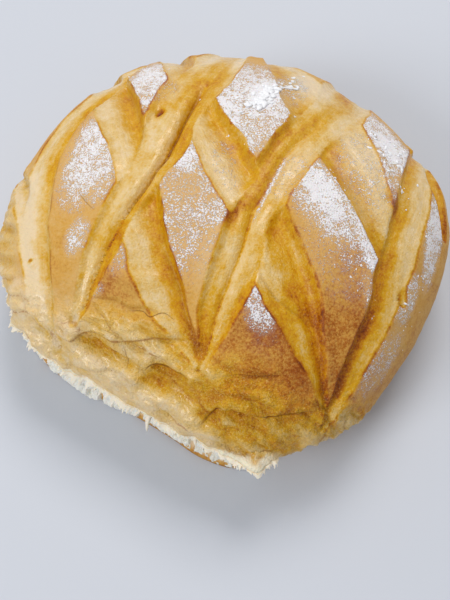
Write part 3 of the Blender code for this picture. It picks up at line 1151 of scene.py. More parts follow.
class Shader:
    """A material's node tree, filled through one method that adds any node."""

    SHINE = 0.22

    def __init__(self, name: str) -> None:
        """Start a material with a bare Principled BSDF."""
        self.material = bpy.data.materials.new(name)
        self.material.use_nodes = True
        self.tree = self.material.node_tree
        self.surface = self.tree.nodes["Principled BSDF"]

    def add(
        self, kind: str, settings: dict[str, Any], sockets: dict[str, Any], output: str | int = 0
    ) -> Socket:
        """Add a node.

        Args:
            kind: the node's type.
            settings: the node's own properties, set before its sockets.
            sockets: values or links of its inputs, by name or number.
            output: which output to give back.

        Returns:
            The output, wrapped.
        """
        node = self.tree.nodes.new(kind)
        for key, value in settings.items():
            if key == "stops":
                self.set_stops(node.color_ramp, value)
            else:
                setattr(node, key, value)
        for key, value in sockets.items():
            self.feed(node.inputs[key], value)
        return Socket(self, node.outputs[output])

    def set_stops(self, ramp: bpy.types.ColorRamp, stops: Sequence[tuple[float, Colour]]) -> None:
        """Give a ramp its stops, each a place and a colour."""
        while len(ramp.elements) < len(stops):
            ramp.elements.new(1.0)
        for element, (place, colour) in zip(ramp.elements, stops):
            element.position = place
            element.color = (*colour, 1.0)

    def feed(self, socket: bpy.types.NodeSocket, value: Any) -> None:
        """Link a wrapped output to an input, or set the input's own value."""
        if isinstance(value, Socket):
            self.tree.links.new(value.link, socket)
        elif isinstance(value, tuple) and len(value) == 3 and socket.type == "RGBA":
            socket.default_value = (*value, 1.0)
        else:
            socket.default_value = value

    def math(self, operation: str, *values: "Socket | float", use_clamp: bool = False) -> Socket:
        """Add a Math node on one or two values."""
        settings = {"operation": operation, "use_clamp": use_clamp}
        return self.add("ShaderNodeMath", settings, dict(enumerate(values)))

    def attribute(self, name: str) -> Socket:
        """Read one of the piece's own attributes."""
        return self.add("ShaderNodeAttribute", {"attribute_name": name}, {}, "Fac")

    def place(self) -> Socket:
        """Read the place on the piece, in metres."""
        return self.add("ShaderNodeTexCoord", {}, {}, "Object")

    def noise(self, place: Socket, length: float, detail: float = 2.0, roughness: float = 0.5) -> Socket:
        """Read noise from about 0 to 1 with features of a length in millimetres."""
        sockets = {"Vector": place, "Scale": 1.0 / (length * MM), "Detail": detail, "Roughness": roughness}
        return self.add("ShaderNodeTexNoise", {}, sockets, "Fac")

    def cells(self, place: Socket, length: float, feature: str = "F1") -> Socket:
        """Read the distance to cells' middles or edges, of a length in millimetres."""
        sockets = {"Vector": place, "Scale": 1.0 / (length * MM)}
        return self.add("ShaderNodeTexVoronoi", {"feature": feature}, sockets, "Distance")

    def mix(self, share: "Socket | float", first: Any, second: Any) -> Socket:
        """Mix two colours."""
        node = self.tree.nodes.new("ShaderNodeMix")
        node.data_type = "RGBA"
        node.clamp_factor = True
        self.feed(node.inputs["Factor"], share)
        colours = [socket for socket in node.inputs if socket.type == "RGBA"]
        self.feed(colours[0], first)
        self.feed(colours[1], second)
        return Socket(self, [socket for socket in node.outputs if socket.type == "RGBA"][0])

    def joined(self, x: "Socket | float", y: "Socket | float", z: "Socket | float") -> Socket:
        """Join three values into a vector."""
        return self.add("ShaderNodeCombineXYZ", {}, {"X": x, "Y": y, "Z": z}, "Vector")

    def finish(
        self, colour: Any, roughness: Any, height: Socket | None = None, strength: float = 1.0
    ) -> None:
        """Feed the surface's colour and roughness, and a relief whose height is in millimetres."""
        self.feed(self.surface.inputs["Base Color"], colour)
        self.feed(self.surface.inputs["Roughness"], roughness)
        if height is not None:
            sockets = {"Height": height, "Distance": MM, "Strength": strength}
            bump = self.add("ShaderNodeBump", {}, sockets, "Normal")
            self.feed(self.surface.inputs["Normal"], bump)

    def scatter(self, weight: float, radius: Colour, scale: float) -> None:
        """Let light a little way into the surface, the same all over it."""
        self.surface.inputs["Specular IOR Level"].default_value = self.SHINE
        self.surface.inputs["Subsurface Weight"].default_value = weight
        self.surface.inputs["Subsurface Radius"].default_value = radius
        self.surface.inputs["Subsurface Scale"].default_value = scale


@dataclass(frozen=True)
class CrustFinish:
    """Baked crust: its colours from underbaked to burnt, its flour, and the depth of its fine relief."""

    cream: Colour = painted(230, 204, 162)
    straw: Colour = painted(222, 186, 118)
    golden: Colour = painted(210, 156, 18)
    amber: Colour = painted(190, 122, 0)
    brown: Colour = painted(156, 80, 4)
    burnt: Colour = painted(116, 54, 10)
    film: Colour = painted(232, 214, 203)
    tan: Colour = painted(206, 154, 86)
    tan_share: float = 0.6
    flour: Colour = painted(243, 241, 244)
    # Colour of the painted glints.
    glint_colour: Colour = painted(242, 214, 140)
    # Yellower skin colour: partly its own, partly painted light on the front left, which faces away from the
    # key light.
    skin: Colour = painted(232, 184, 84)
    skin_share: float = 0.4
    crumb: Colour = painted(246, 234, 204)
    film_share: float = 0.46
    glint_share: float = 0.42
    gloss: float = 0.34
    coat: float = 0.6
    coat_roughness: float = 0.2
    matt: float = 0.85
    grain: float = 0.38
    streak: float = 0.12
    flour_grain: float = 0.30

    def tan_of(self, shader: Shader, baked: Socket) -> Socket:
        """Give the duller colour that skin between the cuts bakes to, tan at first and then brown."""
        return shader.mix(baked.fade(0.42, 0.95), self.tan, self.brown)

    def material(self) -> bpy.types.Material:
        """Build the material from the crust's attributes and noises on its place.

        Returns:
            The material.
        """
        shader = Shader("golden_crust")
        place = shader.place()
        edge = shader.attribute("edge")
        rise = shader.attribute("rise")
        sharp = shader.attribute("sharp")
        crumb = shader.attribute("crumb")
        bake = shader.attribute("bake")
        flour = shader.attribute("flour")
        dust = shader.attribute("dust")
        skin = shader.attribute("skin")
        crack = shader.attribute("crack_side").size()
        crack_dark = shader.attribute("crack_dark")
        ledge = shader.attribute("ledge_side")
        ledge_shade = shader.attribute("ledge_shade")
        along = shader.attribute("along")
        across = shader.attribute("across")
        lead = shader.attribute("lead")

        broad = shader.noise(place, 16.0, 3.0)
        mid = shader.noise(place, 4.0, 3.0, 0.6)
        fine = shader.noise(place, 1.1, 2.0, 0.6)
        drawn = shader.joined(along * 0.10, across * 0.55, bake * 0.2)
        streak = shader.add(
            "ShaderNodeTexNoise", {}, {"Vector": drawn, "Scale": 1.0, "Detail": 3.0, "Roughness": 0.6}, "Fac"
        )
        ragged = edge + (mid - 0.5) * 0.5 + (fine - 0.5) * 0.7
        plate = ragged.fade(-0.35, 0.45)
        in_cut = 1.0 - plate
        streaked = in_cut * lead.fade(0.03, 0.25)
        diamond = plate * (1.0 - skin)

        outline = 1.0 - (edge + (mid - 0.5) * 0.5 + (fine - 0.5) * 0.3 + 0.1).size().fade(0.1, 1.0)
        outline = outline * broad.fade(0.4, 0.56)
        # Painted shade: the baking is raised along each cut's sharp crease, where shade falls.
        crease = in_cut * rise.fade(0.9, 1.0) * sharp.fade(0.4, 1.0)
        baked = bake + (broad - 0.5) * 0.40 + (mid - 0.5) * 0.36 + (streak - 0.5) * 0.34 * streaked
        baked = baked + outline * 0.24 + crease * 0.22 + (fine - 0.5) * (0.26 + baked * 0.3)
        colour = shader.add(
            "ShaderNodeValToRGB",
            {
                "stops": (
                    (0.05, self.cream), (0.26, self.straw), (0.48, self.golden),
                    (0.68, self.amber), (0.86, self.brown), (1.0, self.burnt),
                )
            },
            {"Fac": baked.clipped()},
            "Color",
        )
        speckle = shader.noise(place, 0.75, 2.0, 0.75)
        granular = baked + (fine - 0.5) * 0.5 + (speckle - 0.5) * 0.8
        colour = shader.mix(diamond * self.tan_share, colour, self.tan_of(shader, granular))
        # Yellower, paler skin where it is not baked dark: partly its own colour, partly painted light on the
        # front left.
        yellow_and_painted_light = skin * (1.0 - baked.fade(0.36, 0.56)) * mid.fade(0.3, 0.6)
        colour = shader.mix(yellow_and_painted_light * self.skin_share, colour, self.skin)
        grains = shader.cells(place, 1.0)
        drift = (mid - 0.5) * 0.7 + (broad - 0.5) * 0.5
        thin = (flour + drift + (speckle - 0.5) * 0.8).clipped() * flour.fade(0.0, 0.2) * diamond
        thin = thin.larger((dust * 0.9 + (mid - 0.5) * 0.5 + (speckle - 0.5) * 0.7) * dust.fade(0.0, 0.1))
        colour = shader.mix(thin.clipped() * self.film_share, colour, self.film)

        laid = (flour * diamond).larger(dust * 0.8)
        covered = (speckle + drift * 0.5 - 0.71 + laid * 0.42).fade(0.0, 0.05) * laid.fade(0.05, 0.25)
        sparse = (0.12 - grains).fade(0.0, 0.05) * laid.fade(0.05, 0.3)
        covered = covered.larger(sparse * 0.8)
        colour = shader.mix(covered * 0.9, colour, self.flour)

        # Painted glints: small bright specks of painted highlight over the skin and the cuts.
        glint = (speckle - 0.58).fade(0.0, 0.07) * (0.35 + skin * 0.65).clipped()
        colour = shader.mix(glint * self.glint_share, colour, self.glint_colour)

        # Painted shade: each crack's groove is darkened towards burnt, over the split's own browner colour.
        split = (1.0 - crack.fade(0.2, 0.7)) * crack_dark
        # Painted shade: a brown line along each ledge of skin, where the upper layer shades the one below.
        shade = (1.0 - (ledge - 0.5).size().fade(0.15, 0.7)) * ledge_shade * mid.fade(0.36, 0.5)
        colour = shader.mix(shade * 0.75, colour, self.brown)
        colour = shader.mix(split * 0.85, colour, self.burnt)

        colour = shader.mix(crumb, colour, self.crumb)

        roughness = covered.larger(crumb) * (self.matt - self.gloss) + self.gloss + (mid - 0.5) * 0.2
        roughness = roughness + diamond * 0.2
        wet = (1.0 - baked.fade(0.34, 0.7)) * (1.0 - diamond) * (1.0 - covered) * (1.0 - crumb)
        wet = wet * mid.fade(0.38, 0.6)
        shader.feed(shader.surface.inputs["Coat Weight"], wet * self.coat)
        shader.surface.inputs["Coat Roughness"].default_value = self.coat_roughness
        bubbly = shader.cells(place, 2.4, "SMOOTH_F1") * baked.fade(0.4, 0.75)
        height = (fine - 0.5) * (self.grain + skin * 0.7) + (mid - 0.5) * 0.25 - bubbly * 0.35
        height = height + (speckle - 0.5) * 0.25 + (streak - 0.5) * self.streak * 3.0 * streaked
        height = height + covered * (speckle * self.flour_grain + 0.12) - split * 0.4
        shader.finish(colour, roughness.clipped(), height)
        shader.scatter(0.06, (1.0, 0.5, 0.2), 0.002)
        return shader.material


@dataclass(frozen=True)
class CrumbFinish:
    """Torn white crumb, soft enough for light to go a little way in."""

    white: Colour = painted(238, 234, 222)
    cream: Colour = painted(228, 214, 184)
    matt: float = 0.9

    def material(self) -> bpy.types.Material:
        """Build the material: white crumb, tinted cream in its hollows as painted shade, with fine open
        pores.
        """
        shader = Shader("white_crumb")
        place = shader.place()
        hollow = shader.attribute("hollow")
        pores = shader.cells(place, 1.4)
        fine = shader.noise(place, 0.6, 2.0, 0.6)
        # Painted shade: the hollows of the torn face are tinted darker cream.
        tint = hollow * 0.5 + (fine - 0.5) * 0.3
        colour = shader.mix(tint.clipped(), self.white, self.cream)
        height = pores * 0.5 + (fine - 0.5) * 0.3
        shader.finish(colour, self.matt, height)
        shader.scatter(0.3, (1.0, 0.8, 0.6), 0.003)
        return shader.material


@dataclass(frozen=True)
class TatterFinish:
    """Thin torn skin at the lip: pale baked skin that ends in white crumb."""

    skin: Colour = painted(238, 206, 154)
    torn: Colour = painted(250, 234, 210)

    def material(self) -> bpy.types.Material:
        """Build the material from how far out along each tatter a point is."""
        shader = Shader("torn_skin")
        place = shader.place()
        reach = shader.attribute("reach")
        fine = shader.noise(place, 1.0, 2.0, 0.6)
        colour = shader.mix((reach + (fine - 0.5) * 0.8).fade(-0.1, 0.3), self.skin, self.torn)
        shader.finish(colour, 0.7, (fine - 0.5) * 0.4)
        shader.scatter(0.25, (1.0, 0.7, 0.45), 0.002)
        return shader.material


@dataclass(frozen=True)
class FlourFinish:
    """Flour that caked into lumps."""

    white: Colour = painted(246, 245, 246)

    def material(self) -> bpy.types.Material:
        """Build the material: powdery white with a fine grain."""
        shader = Shader("caked_flour")
        fine = shader.noise(shader.place(), 0.5, 2.0, 0.6)
        shader.finish(self.white, 0.95, (fine - 0.5) * 0.25)
        return shader.material


@dataclass
class Spots:
    """Points of the plain form, with what was read at them.

    Fall is how far below the crown's top each point is, down the share of the way down the side, torn how
    far the side is torn there, and pulled how far the skin was drawn.
    """

    plain: Array
    normals: Array
    crown: Array
    down: Array
    x: Array
    y: Array
    fall: Array
    torn: Array
    pulled: Array
    cuts: dict[str, Array]
    cracks: dict[str, Array]
    folds: dict[str, Array]
    rolls: dict[str, Array]
    terraces: dict[str, Array]
    wrinkles: Array


@dataclass
class Baking:
    """How far each part of the crust baked, from about 0, underbaked, to 1, burnt.

    Ranges are where a fade starts and ends: over a cut from its edge to its crease, over the fall from the
    crown, or in millimetres.
    """

    bulge: float = 0.22
    cut_range: tuple = (0.0, 1.2)
    rim: float = 0.10
    rim_range: tuple = (0.0, 0.12)
    # Painted shade in part: the crease and the steep side under a lifted edge are darker, over their own
    # deeper baking.
    crease: float = 0.32
    crease_range: tuple = (0.38, 0.86)
    lipped_range: tuple = (0.0, 0.3)
    lipped_rim: float = 0.18
    lipped_rim_range: tuple = (0.1, 0.5)
    lipped_crease: float = 0.16
    lipped_crease_range: tuple = (0.93, 1.0)
    steep: float = 0.54
    rise_wander: float = 0.16
    rise_wander_length: float = 7.0
    steep_wander: float = 0.25
    steep_wander_length: float = 6.0
    steep_wander_shift: float = 60.0
    plate: float = 0.44
    # Partly painted shade: the front, which faces away from the key light, is darker as well as baked deeper.
    front: float = 0.15
    front_y: tuple = (-20.0, 70.0)
    front_x: tuple = (-50.0, 20.0)
    side_range: tuple = (0.92, 1.08)
    side: float = 0.20
    side_foot: float = 0.45
    side_foot_range: tuple = (3.0, 16.0)
    base_crust: float = 0.56
    # Paler on wrinkle tops and darker between them: partly the skin's own baking, partly painted highlight
    # and shade.
    wrinkle: float = -0.10
    # Painted shade: how much darker the skin is below a fold's ledge, for each millimetre it sinks.
    fold: float = 0.06
    pale_lip: float = -0.2
    pale_lip_range: tuple = (0.70, 0.87)
    drawn_streak: float = 0.34
    drawn_streak_pitch: tuple = (13.0, -3.6, 20.0)
    skin_pallor: float = 0.4

    def cut_bake(self, spot: Spots, noise: Noise, in_cut: Array) -> Array:
        """Bake an opened cut: palest along the top of its bulge, darker to the crease and on a steep side,
        partly its own baking and partly painted shade in the crease and under the lifted edge.

        Args:
            spot: the points and what was read at them.
            noise: what makes the bands uneven.
            in_cut: 1 inside a cut.

        Returns:
            The baking, as if every point lay in its nearest cut.
        """
        uneven = self.rise_wander * noise.layered(spot.plain, self.rise_wander_length, 3, 0.6)
        rise = np.clip(spot.cuts["rise"] + uneven, 0.0, 1.0)
        uneven = self.steep_wander * noise(spot.plain + self.steep_wander_shift, self.steep_wander_length)
        steep = np.clip(spot.cuts["steep"] + uneven * in_cut, 0.0, 1.0)
        rim, lipped_rim = 1.0 - fade(rise, *self.rim_range), 1.0 - fade(rise, *self.lipped_rim_range)
        plain = self.bulge + self.rim * rim + self.crease * fade(rise, *self.crease_range)
        lipped = self.bulge + self.lipped_rim * lipped_rim
        lipped = lipped + self.lipped_crease * fade(rise, *self.lipped_crease_range)
        bulge = plain + (lipped - plain) * fade(spot.cuts["lip"], *self.lipped_range)
        return bulge + (self.steep - bulge) * steep + spot.cuts["tone"]

    def read(self, spot: Spots, noise: Noise, skin: Skin, base_crust: Array) -> Array:
        """Work out the baking.

        The front is darker than the back left, partly from deeper baking and partly as painted shade where it
        faces away from the key light; the torn skin is pale, and below the shoulder the side is a pale band
        that darkens again near the base.

        Args:
            spot: the points and what was read at them.
            noise: the crust's noise.
            skin: the skin, whose streaks run along the tear.
            base_crust: 1 on the strip of base crust under the torn crumb.

        Returns:
            The baking of each point.
        """
        in_cut = fade(-spot.cuts["edge"], *self.cut_range)
        front = fade(-spot.y, *self.front_y) * fade(spot.x, *self.front_x)
        bake = self.plate + (self.cut_bake(spot, noise, in_cut) - self.plate) * in_cut + self.front * front
        for patch in BAKE_PATCHES:
            bake = bake + patch.read(spot.x, spot.y)
        side = self.side + self.side_foot * (1.0 - fade(spot.plain[:, 2], *self.side_foot_range))
        bake = bake + (side - bake) * fade(spot.fall, *self.side_range)
        bake += (self.base_crust - bake) * base_crust

        # Painted light on the crown: shade below the folds' ledges, and highlight and shade from the ridges
        # and hollows of rolls and wrinkles, over their own baking.
        wrinkled = (spot.wrinkles - spot.wrinkles.mean()) * spot.pulled
        on_crown = spot.rolls["bake"] + self.wrinkle * wrinkled + self.fold * spot.folds["sink"]
        on_crown += self.pale_lip * spot.torn * fade(spot.fall, *self.pale_lip_range)
        bake += np.where(spot.crown, on_crown, 0.0)
        drawn = np.stack((*skin.tear_axes(spot.x, spot.y), spot.plain[:, 2]), axis=1)
        streaks = noise.layered(drawn / self.drawn_streak_pitch, 1.0, 3, 0.7)
        bake += self.drawn_streak * streaks * spot.pulled
        return np.minimum(bake, 1.0 - self.skin_pallor * spot.pulled)


@dataclass
class GoldenCrust:
    """The whole loaf's surface: crown, side and base, with the relief and attributes of its crust.

    The torn wall under the lip is recessed, so that the crumb stands in front of it. Ranges of down are
    shares of the way down the side, and those of fall run from the crown's top, 0, to the widest line, 1.
    """

    form: LoafForm
    scoring: Scoring = field(default_factory=Scoring)
    skin: Skin = field(default_factory=Skin)
    baking: Baking = field(default_factory=Baking)
    finish: CrustFinish = field(default_factory=CrustFinish)
    crown_cells: int = 268
    profile_steps: int = 400
    side_rows: int = 22
    base_ring_share: float = 0.5
    near_lip_range: tuple = (0.72, 1.0)
    streak_pitch: tuple = (11.0, 2.4)
    streak_relief: float = 0.28
    streak_lead: tuple = (0.03, 0.25)
    wall_recess: float = 3.4
    wall_top: tuple = (0.02, 0.07)
    wall_foot: tuple = (0.82, 0.87)
    edge_rag: tuple = ((1.3, 5.0), (1.5, 3.4))
    lip_rag: float = 0.035
    lip_rag_length: float = 3.4
    lip_rag_shift: float = 20.0
    torn_band: tuple = (0.952, 0.972)
    crumb_top: tuple = (0.0, 0.03)
    crumb_foot: tuple = (0.84, 0.88)
    # How dark the painted shade line along each terrace's ledge is.
    terrace_shade: float = 0.7

    def crown_places(self) -> tuple[Array, Array, Array]:
        """Lay a square grid of points on the crown by the concentric map of a square onto a disc.

        The disc's radius is a share of the way from the crown's middle to the widest line, along the
        surface.

        Returns:
            Angle and sweep of each point, and the point numbers along the square's border, turning left.
        """
        steps = np.linspace(-1.0, 1.0, self.crown_cells + 1)
        a, b = (part.ravel() for part in np.meshgrid(steps, steps, indexing="xy"))
        wide = np.abs(a) > np.abs(b)
        safe_a = np.where(a == 0.0, 1.0, a)
        safe_b = np.where(b == 0.0, 1.0, b)
        radius = np.where(wide, a, b)
        turn = np.where(wide, np.pi / 4 * b / safe_a, np.pi / 2 - np.pi / 4 * a / safe_b)
        angle = np.arctan2(radius * np.sin(turn), radius * np.cos(turn))

        sweep = np.linspace(0.0, 1.0, self.profile_steps)
        profile = self.form.place(0.0 * sweep, sweep, sweep >= 0.0)
        walked = np.concatenate(([0.0], np.cumsum(np.linalg.norm(np.diff(profile, axis=0), axis=1))))
        sweeps = np.interp(np.abs(radius), walked / walked[-1], sweep)

        side = self.crown_cells + 1
        numbers = np.arange(side * side).reshape(side, side)
        border = np.concatenate((numbers[:-1, -1], numbers[-1, :0:-1], numbers[:0:-1, 0], numbers[0, :-1]))
        return angle, sweeps, border

    def relief(self, spot: Spots) -> Array:
        """Work out how far each point is pushed out along its normal.

        Over the crown the cuts, cracks and folds sink it and the rolls and the cuts' rims lift it. A slow
        swell, blisters, grain, streaks in the cuts and wrinkles in drawn skin are added everywhere but at
        the base, and the torn edge is ragged.

        Args:
            spot: the points and what was read at them.

        Returns:
            The push in millimetres.
        """
        noise, skin, scoring = self.form.noise, self.skin, self.scoring
        plain, crown, edge = spot.plain, spot.crown, spot.cuts["edge"]
        near_lip = fade(spot.fall, *self.near_lip_range) * spot.torn
        low = fade(plain[:, 2], 0.0, self.form.widest_height / 2)
        lift = scoring.rim_lift * np.exp(-np.clip(edge, 0.0, None) / scoring.rim_width)
        lift = lift * fade(edge, *scoring.rim_range)
        swell = skin.swell * noise(plain, skin.swell_length)
        swell += skin.blister * noise(plain, skin.blister_length)
        along, across = spot.cuts["along"] / self.streak_pitch[0], spot.cuts["across"] / self.streak_pitch[1]
        drawn = np.stack((along, across, 0.0 * edge), axis=1)
        streaks = self.streak_relief * noise.layered(drawn, 1.0, 2) * fade(-edge, 0.0, 1.5)
        streaks *= (1.0 - spot.cuts["steep"]) * fade(spot.cuts["lead"], *self.streak_lead)
        grainy = (skin.grain + skin.pulled_grain * spot.pulled) * noise.layered(plain, skin.grain_length, 2)

        push = np.where(crown, lift - spot.cuts["depth"] - spot.cracks["depth"], 0.0) * (1.0 - near_lip)
        push += np.where(crown, spot.rolls["push"] - spot.folds["sink"], 0.0)
        push += (swell + streaks + grainy + spot.wrinkles) * low
        rag = sum(amount * noise(plain, length) for amount, length in self.edge_rag)
        push += rag * spot.torn * np.where(crown, near_lip, low)
        wall = spot.torn * fade(spot.down, *self.wall_top) * (1.0 - fade(spot.down, *self.wall_foot))
        return push - self.wall_recess * wall

    def read_spots(self, angle: Array, sweep: Array, crown: Array) -> Spots:
        """Place points on the plain form and read cuts, folds, cracks, rolls, wrinkles and the tear there.

        Args:
            angle: the angle of each point.
            sweep: the sweep of each point.
            crown: whether it is on the crown.

        Returns:
            The points and what was read at them.
        """
        form, skin, noise = self.form, self.skin, self.form.noise
        plain = form.place(angle, sweep, crown)
        x, y = form.plan(plain)
        cut_x, cut_y = form.wandered(plain, x, y, self.scoring.wander, self.scoring.wander_length)
        fold_x, fold_y = form.wandered(plain, x, y, skin.fold_wander, skin.fold_wander_length)
        pulled = strongest(SKIN_PATCHES, x, y)
        terraces = skin.terraces(noise, plain, x, y)
        return Spots(
            plain=plain,
            normals=form.normals(angle, sweep, crown),
            crown=crown,
            down=np.where(crown, 0.0, sweep - 1.0),
            x=x,
            y=y,
            fall=form.fall(plain),
            torn=form.tear_share(angle),
            pulled=pulled,
            cuts=self.scoring.read(cut_x, cut_y),
            cracks=skin.cracks(cut_x, cut_y),
            folds=skin.folds(fold_x, fold_y),
            rolls=skin.rolls(fold_x, fold_y),
            terraces=terraces,
            wrinkles=(skin.wrinkles(noise, plain, x, y) + terraces["push"]) * pulled,
        )

    def fields(self, angle: Array, sweep: Array, crown: Array) -> tuple[Array, dict[str, Array]]:
        """Work out points of the finished surface and the attributes that its material reads.

        Args:
            angle: the angle of each point.
            sweep: the sweep of each point.
            crown: whether it is on the crown.

        Returns:
            The points in millimetres and the attributes.
        """
        spot = self.read_spots(angle, sweep, crown)
        points = spot.plain + spot.normals * self.relief(spot)[:, None]
        points[:, 2] = np.maximum(points[:, 2], 0.0)

        noise = self.form.noise
        rag = noise.layered(spot.plain + self.lip_rag_shift, self.lip_rag_length, 3, 0.8)
        torn_band = spot.torn * fade(sweep + self.lip_rag * rag, *self.torn_band)
        torn_wall = spot.torn * fade(spot.down, *self.crumb_top) * (1.0 - fade(spot.down, *self.crumb_foot))
        base_crust = spot.torn * fade(spot.down, *self.wall_foot)
        upper = 1.0 - fade(spot.fall, 0.85, 1.05)
        terraces, folds, cuts = spot.terraces, spot.folds, spot.cuts
        layered = terraces["side"] < np.abs(folds["side"])
        attributes = {
            "edge": np.clip(cuts["edge"], -FAR, FAR),
            "rise": cuts["rise"],
            "sharp": cuts["sharp"],
            "along": cuts["along"],
            "across": cuts["across"],
            "lead": cuts["lead"],
            "bake": self.baking.read(spot, noise, self.skin, base_crust),
            "flour": strongest(FLOUR_PATCHES, spot.x, spot.y) * upper,
            "dust": strongest(DUST_PATCHES, spot.x, spot.y) * upper,
            "skin": spot.pulled * (1.0 - base_crust),
            "crumb": np.where(crown, torn_band, torn_wall),
            "crack_side": np.clip(spot.cracks["side"], -FAR, FAR),
            "crack_dark": spot.cracks["dark"],
            "ledge_side": np.where(layered, terraces["side"], np.clip(folds["side"], -FAR, FAR)),
            "ledge_shade": np.where(
                layered, self.terrace_shade * terraces["strength"] * spot.pulled, folds["strength"]
            ),
        }
        return points, attributes

    def build(self) -> bpy.types.Object:
        """Build the crust as one closed surface that stands for the frame's solid.

        Returns:
            The crust.
        """
        angle, sweep, border = self.crown_places()
        crown_count, ring = len(angle), len(border)
        side_sweep = 1.0 + np.linspace(0.0, 1.0, self.side_rows + 1)[1:]
        side_angle = np.tile(angle[border], self.side_rows)
        all_angle = np.concatenate((angle, side_angle))
        all_sweep = np.concatenate((sweep, np.repeat(side_sweep, ring)))
        crown = np.arange(len(all_angle)) < crown_count
        points, attributes = self.fields(all_angle, all_sweep, crown)
        points[-ring:, 2] = 0.0

        inner = points[-ring:] * self.base_ring_share
        middle = np.zeros((1, 3))
        base = {name: np.full(ring + 1, values[-ring:].mean()) for name, values in attributes.items()}
        points = np.vstack((points, inner, middle))
        attributes = {name: np.concatenate((values, base[name])) for name, values in attributes.items()}

        side = self.crown_cells + 1
        corner = (np.arange(side - 1)[:, None] * side + np.arange(side - 1)).ravel()
        crown_quads = np.stack((corner, corner + 1, corner + side + 1, corner + side), axis=1)
        ring_numbers = np.concatenate((border, np.arange(crown_count, len(points) - 1)))
        side_quads = ring_numbers[rings_of_faces(self.side_rows + 2, ring)]
        last = ring_numbers[-ring:]
        fan = np.stack((np.full(ring, len(points) - 1), np.roll(last, -1), last), axis=1)
        quads = np.vstack((crown_quads, side_quads))
        crust = make_piece("crust", self.form.centred(points), quads, fan, attributes)
        crust.data.materials.append(self.finish.material())
        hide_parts(NODE)
        LOG.info("crust: %d faces", len(crust.data.polygons))
        return crust


@dataclass
class TornCrumb:
    """The crumb that shows under the torn lip: a closed slab with a fibrous outer face full of holes."""

    form: LoafForm
    finish: CrumbFinish = field(default_factory=CrumbFinish)
    seed: int = 23
    columns: int = 860
    front_rows: int = 92
    back_rows: int = 5
    thickness: float = 7.0
    from_sweep: float = 1.01
    to_sweep: float = 1.985
    foot_swell: float = 1.2
    overhang: float = 2.4
    strip_share: float = 0.08
    strip_from: float = -119.0
    strip_to: float = -95.0
    strip_fade: float = 3.0
    mean_radius: float = 95.0
    least_height: float = 0.4

    def strip(self, angle: Array) -> Array:
        """Give 1 where a strip of base crust shows below the crumb."""
        turned, soft = np.degrees(angle), self.strip_fade
        starts = fade(turned, self.strip_from - soft, self.strip_from + soft)
        return starts * (1.0 - fade(turned, self.strip_to - soft, self.strip_to + soft))

    def build(self) -> bpy.types.Object:
        """Build the slab: rows go down its outer face and back up inside it, and fans close its two ends.

        Returns:
            The crumb.
        """
        form, noise = self.form, Noise(self.seed)
        start, end = math.radians(form.tear_from - 3.0), math.radians(form.tear_to + 1.5)
        column_angle = np.linspace(start, end, self.columns)
        front = np.linspace(0.0, 1.0, self.front_rows)
        back = np.linspace(1.0, 0.0, self.back_rows + 2)[1:-1]
        down = np.repeat(np.concatenate((front, back)), self.columns)
        angle = np.tile(column_angle, self.front_rows + self.back_rows)
        strip = self.strip(angle)
        walked = np.stack((angle * self.mean_radius, 0.0 * angle, 0.0 * angle), axis=1)
        uneven = 0.75 + 0.5 * noise.layered(walked, 7.0, 3, 0.7)
        lowest = self.to_sweep - self.strip_share * strip * np.clip(uneven, 0.2, 1.2)
        sweep = self.from_sweep + (lowest - self.from_sweep) * down
        on_front = np.arange(len(angle)) < self.front_rows * self.columns
        side = np.zeros(len(angle), bool)
        plain = form.place(angle, sweep, side)
        outward = form.normals(angle, sweep, side)

        ends = fade(angle, start, start + 0.12) * (1.0 - fade(angle, end - 0.06, end))
        rims = fade(down, 0.0, 0.16) * (1.0 - 0.5 * fade(down, 0.93, 1.0))
        around = (start + angle) * self.mean_radius
        fibres = np.stack((around / 2.2, plain[:, 2] / 3.4, 0.0 * around), axis=1)
        fibres += 0.9 * noise(plain, 4.0)[:, None]
        lumps = noise.layered(plain, 11.0, 2)
        strands = noise.ridged(fibres, 1.0, 2)
        fine = noise.layered(plain, 1.7, 2)
        holes = fade(noise.layered(plain + 50.0, 4.2, 2), 0.12, 0.5)
        relief = 2.4 * lumps + 0.7 * strands + 0.8 * fine - 2.2 * holes - 0.2
        relief += self.foot_swell * fade(down, 0.55, 0.85) * (1.0 - strip)
        relief -= self.overhang * (1.0 - fade(down, 0.1, 0.6))
        push = np.where(on_front, relief * rims * ends - 0.8 * (1.0 - ends), -self.thickness)
        points = plain + outward * push[:, None]
        points[:, 2] = np.maximum(points[:, 2], self.least_height)

        rows = self.front_rows + self.back_rows
        quads = rings_of_faces(rows, self.columns, closed_rows=True, closed_columns=False)
        grid = np.arange(rows * self.columns).reshape(rows, self.columns)
        first, last = grid[:, 0], grid[:, -1]
        points = np.vstack((points, points[first].mean(axis=0), points[last].mean(axis=0)))
        total = rows * self.columns
        caps = np.vstack((
            np.stack((np.full(rows, total), np.roll(first, -1), first), axis=1),
            np.stack((np.full(rows, total + 1), last, np.roll(last, -1)), axis=1),
        ))
        # Hollow says where the crumb's painted shade goes: recessed parts of its face, and all of its back
        # and ends.
        hollow = np.concatenate((np.where(on_front, fade(-relief, -1.6, 1.2), 1.0), [1.0, 1.0]))
        crumb = make_piece("torn_crumb", form.centred(points), quads, caps, {"hollow": hollow})
        crumb.data.materials.append(self.finish.material())
        LOG.info("torn_crumb: %d faces", len(crumb.data.polygons))
        return crumb


